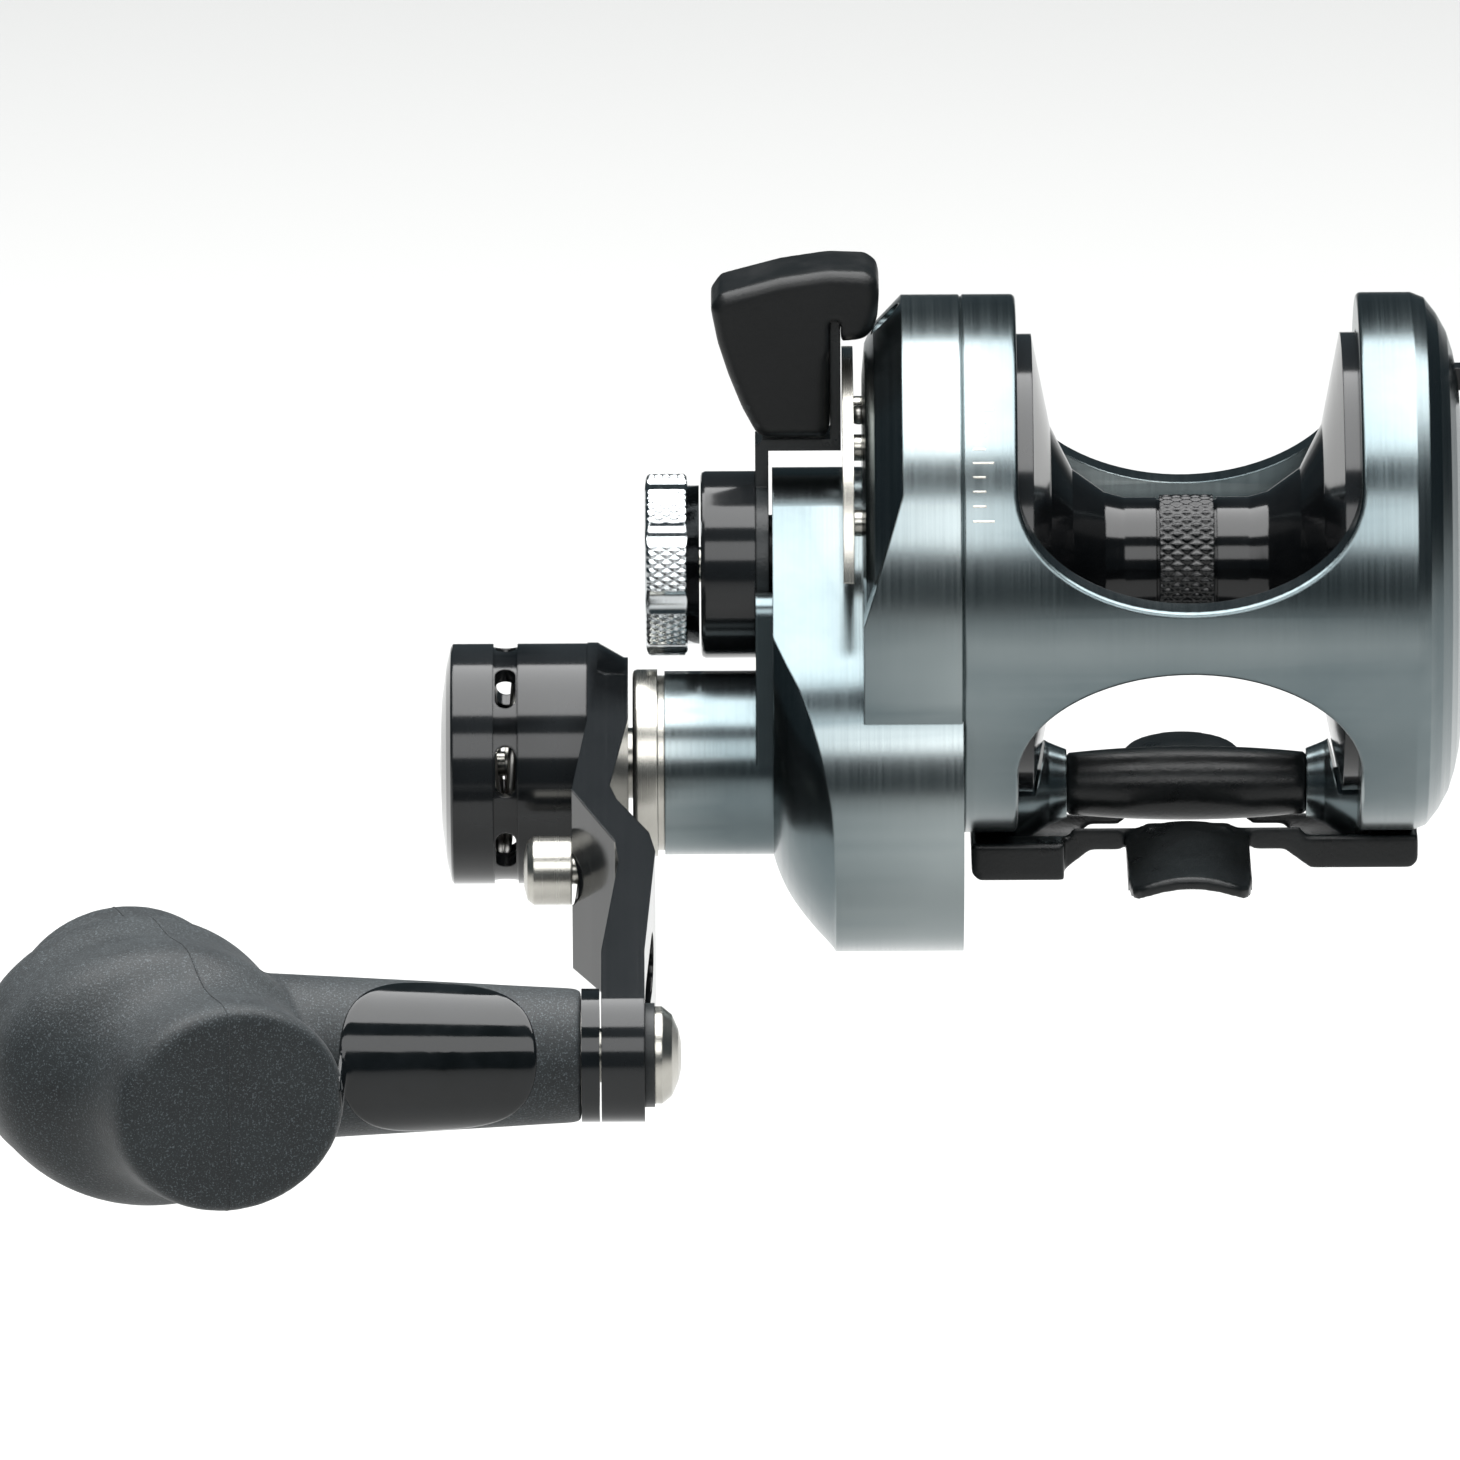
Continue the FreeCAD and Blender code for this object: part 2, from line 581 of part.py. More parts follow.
def make_tower_ring():
    return lathe([(tower_end, tower_bearing_radius - 0.6), (tower_end, tower_radius - 0.5),
                  (tower_end - tower_groove, tower_radius - 0.5), (tower_end - tower_groove, tower_radius + 0.2),
                  (tower_ring_end + 0.5, tower_radius + 0.2), (tower_ring_end + 0.15, tower_radius + 0.05),
                  (tower_ring_end, tower_radius - 0.3), (tower_ring_end, main_shaft_radius + body_gap),
                  (tower_ring_end + 1.2, main_shaft_radius + body_gap),
                  (tower_ring_end + 1.2, tower_bearing_radius - 0.6)], handle_centre)


def make_quadrant():
    """Arc plate that the lever slides over, with a raised step at its front end."""
    x_out = plate_face - post_gap - quadrant_thickness
    x_in = plate_face - post_gap
    ring = tube(x_out, x_in, quadrant_radius, quadrant_inner, spool_centre)
    reach = quadrant_radius * 1.6
    wedge = [(spool_centre[0], spool_centre[1])]
    for share in range(5):
        wedge.append(from_axis(spool_centre, reach, quadrant_start - quadrant_sweep * share / 4))
    plate = ring.common(prism_x(wedge, x_out - 1, x_in + 1))
    for angle in quadrant_post_angles[:3]:
        plate = plate.cut(rod(x_out - 1, x_in + 1, 0.8, from_axis(spool_centre, quadrant_post_radius, angle)))
    detent = from_axis(spool_centre, detent_radius, detent_angle)
    return plate.cut(rod(x_out - 1, x_in + 1, 0.9, detent))


def make_quadrant_posts():
    posts = []
    for angle in quadrant_post_angles[:3]:
        place = from_axis(spool_centre, quadrant_post_radius, angle)
        post = rod(plate_face - post_gap, plate_face, 1.5, place)
        post = post.fuse(rod(plate_face - post_gap - quadrant_thickness, plate_face + 1.5, 0.78, place))
        posts.append(post)
    return Part.makeCompound(posts)


def make_detent_ball():
    y, z = from_axis(spool_centre, detent_radius, detent_angle)
    return Part.makeSphere(1.1, point(plate_face - post_gap + 0.62, y, z))


def make_detent_spring():
    place = from_axis(spool_centre, detent_radius, detent_angle)
    start = plate_face + 0.65
    coils = [tube(start + 0.4 * turn, start + 0.2 + 0.4 * turn, 1.1, 0.6, place) for turn in range(3)]
    body = tube(start, start + 1.2, 0.85, 0.6, place)
    for coil in coils:
        body = body.fuse(coil)
    return body


# ---- spool and drag -------------------------------------------------------------------------
spool_bearing_radius = 5.5
spool_bearing_width = 4.0
knurl_half_width = 3.1


def make_spool():
    inner = flange_outline()
    right = [(x, r) for x, r in reversed(inner)]
    left = [(-x, r) for x, r in inner]
    web = 2.0
    outer_side = [(spool_end, spool_radius), (spool_end, spool_radius - 1.6),
                  (spool_half_width + 1.2, spool_radius - 2.2), (spool_half_width - 2.1 + web, spool_radius * 0.6),
                  (spool_half_width - 4.6 + web, spool_radius * 0.38),
                  (spool_half_width - 4.6 + web, spool_bearing_radius), (spool_half_width - 6.4, spool_bearing_radius),
                  (spool_half_width - 6.4, spool_shaft_radius + 0.8)]
    profile = left + right + outer_side + [(-x, r) for x, r in reversed(outer_side)]
    body = lathe(profile, spool_centre)
    grooves = []
    for side in (-1, 1):
        x_low, x_high = sorted((side * knurl_half_width, side * (knurl_half_width + 0.3)))
        grooves.append(tube(x_low, x_high, 8.0, 7.15, spool_centre))
    return body.cut(Part.makeCompound(grooves)).removeSplitter()


def make_spool_bearing(side):
    x_inner = side * (spool_half_width - 6.4)
    x_low, x_high = sorted((x_inner, x_inner + side * spool_bearing_width))
    return ball_bearing(x_low, x_high, spool_bearing_radius, spool_shaft_radius + running_gap, spool_centre)


drag_radius = spool_radius - 5.0
drag_face = spool_half_width + 0.95


def make_drag_washer():
    return tube(-spool_end - 0.9, -drag_face, drag_radius, drag_radius - 9.0, spool_centre)


def make_drag_seat():
    """Ring on the spool that the drag washer presses on."""
    return tube(-drag_face, -drag_face + 1.5, drag_radius, drag_radius - 5.0, spool_centre).cut(
        make_spool())


def make_pressure_plate():
    disc = tube(-spool_end - 2.8, -spool_end - 0.9, drag_radius + 0.6, spool_shaft_radius + 0.3, spool_centre)
    neck = tube(parting - 0.6, -spool_end - 2.8, 4.4, spool_shaft_radius + 0.3, spool_centre)
    return disc.fuse(neck).removeSplitter()


def make_high_pinion():
    first = to_spool + math.pi + math.pi / high_pinion_teeth
    wheel = gear(high_pinion_teeth, high_gear_out - 0.2, high_gear_in + 0.2, spool_shaft_radius + running_gap,
                 spool_centre, first)
    sleeve = tube(high_gear_out - 2.0, high_gear_out - 0.2, gear_module * high_pinion_teeth / 2 + tooth_top,
                  spool_shaft_radius + running_gap, spool_centre)
    return wheel.fuse(sleeve)


def make_low_pinion():
    first = to_spool + math.pi + math.pi / low_pinion_teeth
    wheel = gear(low_pinion_teeth, high_gear_in + 0.2, low_gear_in + 0.2, spool_shaft_radius + running_gap,
                 spool_centre, first)
    sleeve = tube(low_gear_in + 0.2, parting - 0.6, 4.4, spool_shaft_radius + running_gap, spool_centre)
    return wheel.fuse(sleeve)


def make_click_wheel():
    bore = spool_bearing_radius + 0.2
    wheel = ratchet(click_teeth, click_plane, click_plane + 1.8, click_radius, click_radius - 1.0, bore,
                    spool_centre, math.radians(-3.9))
    return wheel.fuse(tube(spool_half_width - 2.6, click_plane, bore + 1.3, bore, spool_centre))


def make_spool_shaft():
    return rod(preset_end + 1.0, ring_end + dome_height - tail_depth - 0.05, spool_shaft_radius, spool_centre)


def make_tail_cap():
    """Threaded cap that closes the shaft's end in the far end wall."""
    x_end = ring_end + dome_height
    body = lathe([(x_end - tail_depth, 0), (x_end - tail_depth, tail_radius - seat_gap), (x_end - 0.2, tail_radius - seat_gap),
                  (x_end, tail_radius - 0.5), (x_end, 0)], spool_centre)
    return body.cut(block((x_end - 0.6, x_end + 1), (-4.2, 4.2), (axis_height - 0.7, axis_height + 0.7)))


# ---- click ------------------------------------------------------------------------------------
def make_click_button():
    z = axis_height + click_slot_radius
    x_face = ring_end + dome_height - 0.15
    head = block((x_face, x_face + 1.8), (-4.2, 4.2), (z - 2.3, z + 2.3))
    edges = [edge for edge in head.Edges if abs(edge.tangentAt(edge.FirstParameter).x) > 0.9]
    head = head.makeFillet(1.6, edges)
    ridge = block((x_face + 1.0, x_face + 2.4), (-4.4, 4.4), (z - 0.55, z + 0.55))
    for step in (-1.4, 0.0, 1.4):
        head = head.cut(ridge.translated(point(0.5, 0, step)))
    stem = block((end_inner - 3.9, x_face + 0.2), (-1.25, 1.25), (z - 1.3, z + 1.3))
    return head.fuse(stem).removeSplitter()


def make_click_tongue():
    """Sprung tongue on the button's stem; it reaches the wheel when the button is slid in."""
    z = axis_height + click_slot_radius
    low = axis_height + click_radius + click_travel - 0.35
    x_low = end_inner - 4.7
    arm = block((x_low, x_low + 0.8), (-1.2, 1.2), (low + 2.0, z + 1.3))
    tip = block((click_plane + 0.2, x_low + 0.8), (-0.5, 0.5), (low, low + 3.0))
    return arm.fuse(tip).removeSplitter()


# ---- gears and anti-reverse ------------------------------------------------------------------
def make_high_gear():
    wheel = gear(high_gear_teeth, high_gear_out, high_gear_in, gear_seat_radius, handle_centre, to_spool)
    for angle in range(0, 360, 60):
        hole = rod(high_gear_out - 1, high_gear_in + 1, 3.2, from_axis(handle_centre, 11.5, angle))
        wheel = wheel.cut(hole)
    return wheel


def make_low_gear():
    wheel = gear(low_gear_teeth, low_gear_out, low_gear_in, gear_seat_radius + running_gap, handle_centre, to_spool)
    for angle in range(30, 390, 60):
        wheel = wheel.cut(rod(low_gear_out - 1, low_gear_in + 1, 2.6, from_axis(handle_centre, 10.0, angle)))
    return wheel


def make_ratchet():
    return ratchet(ratchet_teeth, ratchet_out, ratchet_in, 9.0, 7.9, gear_seat_radius, handle_centre, 0.0)


dog_angles = (202.0, 310.0)
dog_pivot_radius = 12.4
dog_pin_radius = 0.8
dog_pin_socket = 1.2
dog_lift = 10.0             # degrees, from a tooth to clear of the wheel


def make_dog(angle):
    """Pawl on a pin in the gearbox floor, shown lifted clear of the ratchet, and its pivot."""
    step = 360.0 / ratchet_teeth
    tip_angle = math.floor(angle / step) * step + step * 0.97
    pivot = from_axis(handle_centre, dog_pivot_radius, tip_angle + 34)
    tip_in = from_axis(handle_centre, 8.35, tip_angle + 1.6)
    tip_out = from_axis(handle_centre, 9.9, tip_angle + 1.6)
    heel_in = from_axis(handle_centre, dog_pivot_radius - 1.6, tip_angle + 32)
    heel_out = from_axis(handle_centre, dog_pivot_radius + 1.5, tip_angle + 30)
    tip_side = from_axis(handle_centre, 9.35, tip_angle + 8)
    arm = prism_x([tip_in, tip_side, heel_in, heel_out, tip_out], ratchet_out + 0.1, ratchet_in - 0.1)
    body = arm.fuse(rod(ratchet_out + 0.1, ratchet_in - 0.1, 1.9, pivot))
    body = body.cut(rod(ratchet_out - 1, ratchet_in + 1, dog_pin_radius + running_gap, pivot))
    return around(body, pivot, dog_lift), pivot


def make_dog_pins():
    return Part.makeCompound([rod(cavity_floor - dog_pin_socket, ratchet_in + 0.2, dog_pin_radius, make_dog(angle)[1])
                              for angle in dog_angles])


def make_main_shaft():
    profile = [(button_skirt + 1.2, 0), (button_skirt + 1.2, main_shaft_radius - 0.4),
               (hub_start - 1.6, main_shaft_radius - 0.4), (hub_start - 1.6, main_shaft_radius),
               (ratchet_out - 0.6, main_shaft_radius), (ratchet_out - 0.6, gear_seat_radius),
               (gear_plate_in - 0.75, gear_seat_radius), (gear_plate_in - 0.75, shaft_tail_radius),
               (parting - 0.6, shaft_tail_radius), (parting - 0.6, 0)]
    body = lathe(profile, handle_centre)
    return body.cut(rod(button_top - 1, low_gear_out + button_travel, shift_rod_radius + running_gap, handle_centre))


def make_tower_bearing():
    return ball_bearing(tower_end + 0.4, tower_end + 4.8, tower_bearing_radius,
                        main_shaft_radius + running_gap, handle_centre)


def make_tail_bearing():
    return ball_bearing(gear_plate_in - 0.6, parting - 0.45, tail_bearing_radius,
                        shaft_tail_radius + running_gap, handle_centre)


def make_shaft_seal():
    return tube(tower_end - 0.7, tower_end + 0.1, tower_bearing_radius - 0.6, main_shaft_radius + 0.1,
                handle_centre)


# ---- drag lever ---------------------------------------------------------------------------------
cap_bore = spool_shaft_radius + running_gap


def make_lever():
    """Stamped strip: a ring round the spool axis, a step along the gearbox and an upright tab."""
    z = axis_height
    half = lever_width / 2
    ring = tube(lever_out, lever_in, cap_radius - 0.3, cap_bore, spool_centre)
    upright = block((lever_out, lever_in), (-half, half), (z + 7, z + lever_step_radius + lever_thickness - 0.8))
    run = block((lever_out + 0.8, lever_tab_in), (-half, half),
                (z + lever_step_radius, z + lever_step_radius + lever_thickness - 0.15))
    bend = Part.makeCylinder(lever_thickness, lever_width, point(lever_in, -half, z + lever_step_radius - 0.15),
                             point(0, 1, 0))
    corner = bend.common(block((lever_out, lever_in), (-half, half), (z + lever_step_radius - 0.2, z + 20)))
    tab = block((lever_tab_out, lever_tab_in), (-half, half),
                (z + lever_step_radius, z + frame_radius - 0.8))
    sleeve = tube(lever_in, gearbox_face + 5.2, cam_radius, cap_bore, spool_centre)
    body = ring
    for piece in (upright, run, corner, tab, sleeve):
        body = body.fuse(piece)
    return body.removeSplitter()


def make_cap():
    rim = 0.5
    profile = [(lever_out, cap_bore), (lever_out, cap_radius), (cap_end + rim, cap_radius),
               (cap_end + 0.15, cap_radius - 0.15), (cap_end, cap_radius - rim), (cap_end, cap_bore)]
    return lathe(profile, spool_centre)


def knob_corner(x_offset, radius):
    return (lever_tab_in + 3.3 + x_offset, axis_height + radius)


def make_lever_knob():
    top = lever_top
    foot = lever_step_radius + lever_thickness + 0.5
    slot_x = (lever_tab_out - 0.02, lever_tab_in + 0.02)
    outline = [knob_corner(-18.0, top - 4.4), knob_corner(-16.8, top - 2.7), knob_corner(-10.0, top - 0.9),
               knob_corner(-4.6, top - 0.1), knob_corner(-0.4, top - 0.3), knob_corner(0.8, top - 1.2),
               knob_corner(1.1, top - 2.6), knob_corner(0.9, top - 5.6), knob_corner(0.4, frame_radius - 1.9),
               knob_corner(-0.5, frame_radius - 2.9), knob_corner(-1.8, frame_radius - 3.2),
               knob_corner(-2.98, frame_radius - 3.2), knob_corner(-4.4, frame_radius - 5.4),
               knob_corner(-4.5, foot + 1.0), knob_corner(-5.1, foot), knob_corner(-11.9, foot),
               knob_corner(-12.9, foot + 0.5), knob_corner(-14.5, 19.6), knob_corner(-16.0, 23.4),
               knob_corner(-17.2, 27.2)]
    half = 5.6
    body = prism_y(outline, -half, half)
    edges = [edge for edge in body.Edges if abs(edge.tangentAt(edge.FirstParameter).y) < 0.5]
    body = body.makeChamfer(0.9, edges)
    slot = block(slot_x, (-half - 1, half + 1), (axis_height + 10, axis_height + frame_radius - 0.78))
    return body.cut(slot)


def make_cam_ring():
    """Ramp ring on the lever sleeve; turning it pulls the shaft and closes the drag."""
    return tube(gearbox_face + 2.6, gearbox_face + 5.2, cam_radius + 1.2, cam_radius, spool_centre)


def make_cam_follower():
    x_low = gearbox_face + 5.2 + body_gap
    return tube(x_low, x_low + 1.4, boss_radius - 3.6, spool_shaft_radius, spool_centre)


def make_belleville_washers():
    x_low = gearbox_face + 5.2 + body_gap + 1.4
    washers = []
    for turn in range(2):
        x = x_low + turn * 0.5
        washers.append(lathe([(x, 5.4), (x + 0.3, 5.4), (x + 0.45, 3.4), (x + 0.15, 3.4)], spool_centre))
    return Part.makeCompound(washers)


def make_preset_knob():
    """Knurled knob with eight finger scallops, on the shaft's threaded end."""
    profile = [(preset_neck, cap_bore), (preset_neck, preset_radius - 1.3), (preset_start, preset_radius - 1.3),
               (preset_start, preset_radius - 0.35), (preset_start - 0.35, preset_radius),
               (preset_end + 0.6, preset_radius), (preset_end + 0.15, preset_radius - 0.5),
               (preset_end, preset_radius - 1.4), (preset_end, 0), (preset_end + 0.8, 0),
               (preset_end + 0.8, cap_bore)]
    body = lathe(profile, spool_centre)
    scallop = rod(preset_end - 1, preset_start + 0.01, 3.4, from_axis(spool_centre, preset_radius + 2.9, 0))
    cutter = [around(scallop, spool_centre, turn * 45 + 10) for turn in range(8)]
    return body.cut(Part.makeCompound(cutter))


# ---- handle: made pointing straight up, then turned to its place -----------------------------------
def place_handle(shape):
    return around(shape, handle_centre, arm_tilt)


def arm_outline_face(offsets, base_x):
    return [(base_x + x, handle_centre[1] + r) for r, x in offsets]


def make_arm():
    tip = arm_length + arm_tip_radius
    flat = hub_radius + 0.4
    pad = arm_length - arm_tip_radius - 2
    outer = [(-15, 0.0), (flat, 0.0), (29, -1.7), (34, 0.5), (40, 3.2), (44, 3.6), (pad, 1.7), (tip + 1, 1.7)]
    inner = [(-15, 0.0), (flat, 0.0), (28, -2.0), (31, -1.2), (38, 2.4), (42, 3.1), (pad, 1.9), (tip + 1, 1.9)]
    outline = arm_outline_face(outer, hub_start) + arm_outline_face(reversed(inner), arm_back)
    plate = prism_y(outline, -30, 30)
    tip_centre = (handle_centre[0], handle_centre[1] + arm_length)
    plan = belt(button_top, gearbox_face, handle_centre, hub_radius + 0.1, tip_centre, arm_tip_radius)
    body = plate.common(plan)
    taper = tube(arm_back - 3.4, arm_back + 2, hub_radius + 3, hub_radius - 1.6, handle_centre)
    cone = lathe([(arm_back - 3.4, 0), (arm_back - 3.4, hub_radius + 0.1), (arm_back + 0.6, hub_radius - 2.2),
                  (arm_back + 0.6, 0)], handle_centre)
    upper = block((button_top, gearbox_face), (-60, 60), (handle_centre[1] + 4.5, handle_centre[1] + 200))
    body = body.cut(taper.cut(cone).cut(upper))
    pin_centre = (handle_centre[0], handle_centre[1] + release_reach)
    body = body.cut(rod(arm_back - 8, arm_back - 1.9, release_radius + running_gap, pin_centre).cut(
        rod(arm_back - 8 + 3.7, arm_back + 2, release_radius + 1, pin_centre)))
    body = body.cut(rod(arm_back - 20, arm_back + 2, 1.6, pin_centre))
    body = body.cut(rod(arm_back - 20, arm_back + 20, main_shaft_radius, handle_centre))
    body = body.cut(rod(arm_back - 20, arm_back + 20, spindle_radius, tip_centre))
    pocket = belt(tip_face - 1.6, tip_face + 6, (handle_centre[0], handle_centre[1] + 50), 3.6,
                  (handle_centre[0], handle_centre[1] + 60), 3.0)
    body = body.cut(pocket)
    return place_handle(body.removeSplitter())


def make_hub_base():
    """Cup on the arm that carries the shift button's slotted sleeve."""
    wall_in = sleeve_radius - sleeve_wall
    x0, x1, x2 = hub_start, sleeve_start, button_skirt
    profile = [(x0, main_shaft_radius), (x0, hub_radius), (x1, hub_radius), (x1, sleeve_radius),
               (x2 - 1.2, sleeve_radius), (x2 - 1.2, wall_in), (x0 - 1.8, wall_in), (x0 - 1.8, main_shaft_radius)]
    body = lathe(profile, handle_centre)
    half = (x1 - x2 - 0.4) / 2
    reach = hub_slot_sweep / 2 - half / hub_radius / DEGREE
    wedge = [handle_centre] + [from_axis(handle_centre, hub_radius + 4, 90 + side * reach) for side in (-1, 0, 1)]
    slot = prism_x(wedge, x2 + 0.2, x1 - 0.2)
    middle = point((x1 + x2) / 2, handle_centre[0], handle_centre[1])
    end = Part.makeCylinder(half, hub_radius + 2, middle, point(0, 0, 1))
    for side in (-1, 1):
        slot = slot.fuse(around(end, handle_centre, side * reach))
    cutter = [around(slot, handle_centre, 45 * turn + 22.5) for turn in range(8)]
    for piece in cutter:
        body = body.cut(piece)
    return place_handle(body)


def make_shift_button():
    skirt_in = sleeve_radius + 0.06
    x0, x1 = button_skirt, button_top
    profile = [(x0, skirt_in), (x0, hub_radius), (x1 + 1.6, hub_radius), (x1 + 1.35, hub_radius - 0.35),
               (x1 + 0.85, hub_radius - 2.4), (x1 + 0.3, hub_radius - 6.5), (x1, 0), (x1 + 1.6, 0),
               (x1 + 1.6, 3.0), (x1 + 1.9, skirt_in)]
    return lathe(profile, handle_centre)


def make_shift_rod():
    """Draw rod on the button's back; its end picks the high or the low gear."""
    return rod(button_top + 1.6, high_gear_in, shift_rod_radius, handle_centre)


def make_shift_spring():
    """Wave spring: rings that meet their neighbours on alternate sides."""
    wire, turns = 0.55, 6
    radius = sleeve_radius - sleeve_wall - wire - 1.25
    x_low = button_skirt - 3.0
    length = hub_start - 1.8 - x_low
    step = (length - 2 * wire + 1.2 * wire) / turns
    rise = (step - 1.2 * wire) / 2
    lean = rise / radius
    body = None
    for turn in range(turns):
        middle = point(x_low + wire + rise + turn * step, handle_centre[0], handle_centre[1])
        side = 1 if turn % 2 else -1
        ring = Part.makeTorus(radius, wire, middle, point(math.cos(lean), 0, side * math.sin(lean)))
        body = body.fuse(ring) if body else ring
    return body.removeSplitter()


def make_release_pin():
    place = (handle_centre[0], handle_centre[1] + release_reach)
    face = hub_start - 1.6
    x_end = face - 5.6
    profile = [(face - 0.15, 0), (face - 0.15, release_radius), (x_end + 1.2, release_radius),
               (x_end + 0.5, release_radius * 0.86), (x_end + 0.12, release_radius * 0.5), (x_end, 0)]
    stem = rod(face - 0.3, arm_back - 3.4, 1.6 - running_gap, place)
    return place_handle(lathe(profile, place).fuse(stem))


def make_spindle():
    place = (handle_centre[0], handle_centre[1] + arm_length)
    body = rod(grip_start - neck_length * 0.78, tip_face, spindle_radius, place)
    head = rod(grip_start - neck_length * 0.78 - 1.2, grip_start - neck_length * 0.78, spindle_radius + 1.4, place)
    return place_handle(body.fuse(head))


def make_tip_washer():
    place = (handle_centre[0], handle_centre[1] + arm_length)
    return place_handle(rod(tip_face, tip_face + 1.1, 5.76, place))


def make_tip_screw():
    place = (handle_centre[0], handle_centre[1] + arm_length)
    x0 = tip_face + 1.1
    profile = [(x0, 0), (x0, 5.4), (x0 + 0.8, 5.4), (x0 + 1.9, 4.5), (x0 + 2.6, 2.9), (x0 + 2.9, 1.6),
               (x0 + 1.4, 1.5), (x0 + 1.4, 0)]
    return place_handle(lathe(profile, place))


# ---- grip ------------------------------------------------------------------------------------------
knob_centre = from_axis(handle_centre, arm_length, 90 + arm_tilt)
grip_middle = neck_end - 11.0
swell_reach = 18.2
swell_height = 14.4         # half the grip's height at its middle
swell_offset = 4.2


def grip_section(along, half_x, half_z, shift):
    """Elliptic section across the grip at a distance from its middle."""
    yaw = grip_yaw * DEGREE
    ahead = point(math.sin(yaw), -math.cos(yaw), 0)
    across = point(-math.cos(yaw), -math.sin(yaw), 0)
    middle = point(grip_middle, knob_centre[0], knob_centre[1]) + ahead * along + across * shift
    if half_x >= half_z:
        ellipse = Part.Ellipse(middle + across * half_x, middle + point(0, 0, half_z), middle)
    else:
        ellipse = Part.Ellipse(middle + point(0, 0, half_z), middle + across * half_x, middle)
    return Part.Wire(ellipse.toShape())


def make_grip():
    end = grip_end_radius
    wide = end + grip_end_spread
    half = [(grip_half_length, wide - 1.2, end - 1.0, 0.0), (grip_half_length - 0.7, wide - 0.3, end - 0.2, 0.0),
            (grip_half_length - 2.4, wide + 0.2, end + 0.1, 0.1),
            (grip_half_length * 0.45, wide + 2.6, (end + swell_height) / 2 + 0.3, swell_offset * 0.6)]
    sections = [grip_section(-along, half_x, half_z, shift) for along, half_x, half_z, shift in half]
    sections.append(grip_section(0.0, swell_reach, swell_height, swell_offset))
    sections += [grip_section(along, half_x, half_z, shift) for along, half_x, half_z, shift in reversed(half)]
    bar = Part.makeLoft(sections, True, False)
    neck_x = grip_start - collar_length
    neck = lathe([(neck_x, 0), (neck_x, arm_tip_radius), (neck_end, arm_tip_radius + 1.9), (neck_end - 10, 9.0),
                  (neck_end - 10, 0)], knob_centre)
    body = bar.fuse(neck)
    hollow = rod(grip_start - neck_length * 0.78 - 3.0, grip_start + 1, grip_bearing_radius, knob_centre)
    body = body.cut(hollow)
    return body.cut(insert_shape(seat_gap))


grip_bearing_radius = 5.6
insert_half_width = 9.0
insert_half_height = 7.6


def insert_shape(extra):
    """Oval plate let into the palm side of the grip, on the spindle's axis."""
    x_deep = grip_middle - swell_offset - swell_reach + 3.2
    centre = point(x_deep - 8, knob_centre[0], knob_centre[1])
    ellipse = Part.Ellipse(centre + point(0, insert_half_width + extra, 0), centre + point(0, 0, insert_half_height + extra), centre)
    return Part.Face(Part.Wire(ellipse.toShape())).extrude(point(8 + extra, 0, 0))


def make_grip_insert():
    beside = swell_height - 0.8
    skin = Part.makeLoft([grip_section(-14.0, swell_reach - 1.8, beside, swell_offset * 0.88),
                          grip_section(0.0, swell_reach - 0.1, swell_height, swell_offset),
                          grip_section(14.0, swell_reach - 1.8, beside, swell_offset * 0.88)], True, False)
    return insert_shape(0.0).common(skin)


def make_grip_collar():
    return tube(grip_start - collar_length, grip_start, arm_tip_radius, grip_bearing_radius, knob_centre)


def make_grip_bearings():
    first = ball_bearing(grip_start - 3.2, grip_start - 0.2, grip_bearing_radius,
                         spindle_radius + running_gap, knob_centre)
    last = grip_start - neck_length * 0.78
    second = ball_bearing(last + 0.3, last + 3.3, grip_bearing_radius, spindle_radius + running_gap, knob_centre)
    return Part.makeCompound([first, second])


nodes = {
    "frame": make_frame,
    "lower_crossbar": make_crossbar,
    "reel_foot": make_foot,
    "foot_screws": make_foot_screws,
    "handle_side_plate": make_side_plate,
    "side_plate_screws": make_side_screws,
    "gear_plate": make_gear_plate,
    "tower_ring": make_tower_ring,
    "tower_bearing": make_tower_bearing,
    "tail_bearing": make_tail_bearing,
    "shaft_seal": make_shaft_seal,
    "quadrant_plate": make_quadrant,
    "quadrant_posts": make_quadrant_posts,
    "detent_ball": make_detent_ball,
    "detent_spring": make_detent_spring,
    "spool_shaft": make_spool_shaft,
    "tail_cap": make_tail_cap,
    "cam_follower": make_cam_follower,
    "belleville_washers": make_belleville_washers,
    "dog_pins": make_dog_pins,
    "front_dog": lambda: make_dog(dog_angles[0])[0],
    "rear_dog": lambda: make_dog(dog_angles[1])[0],
    "spool": make_spool,
    "spool_bearing_left": lambda: make_spool_bearing(-1),
    "spool_bearing_right": lambda: make_spool_bearing(1),
    "drag_washer": make_drag_washer,
    "drag_seat": make_drag_seat,
    "pressure_plate": make_pressure_plate,
    "high_pinion": make_high_pinion,
    "low_pinion": make_low_pinion,
    "click_wheel": make_click_wheel,
    "click_button": make_click_button,
    "click_tongue": make_click_tongue,
    "high_gear": make_high_gear,
    "low_gear": make_low_gear,
    "ratchet_wheel": make_ratchet,
    "main_shaft": make_main_shaft,
    "handle_arm": make_arm,
    "hub_base": make_hub_base,
    "shift_button": make_shift_button,
    "shift_rod": make_shift_rod,
    "shift_spring": make_shift_spring,
    "release_pin": make_release_pin,
    "grip_spindle": make_spindle,
    "tip_washer": make_tip_washer,
    "tip_screw": make_tip_screw,
    "grip": make_grip,
    "grip_insert": make_grip_insert,
    "grip_collar": make_grip_collar,
    "grip_bearings": make_grip_bearings,
    "drag_lever": make_lever,
    "lever_cap": make_cap,
    "lever_knob": make_lever_knob,
    "cam_ring": make_cam_ring,
    "preset_knob": make_preset_knob,
}

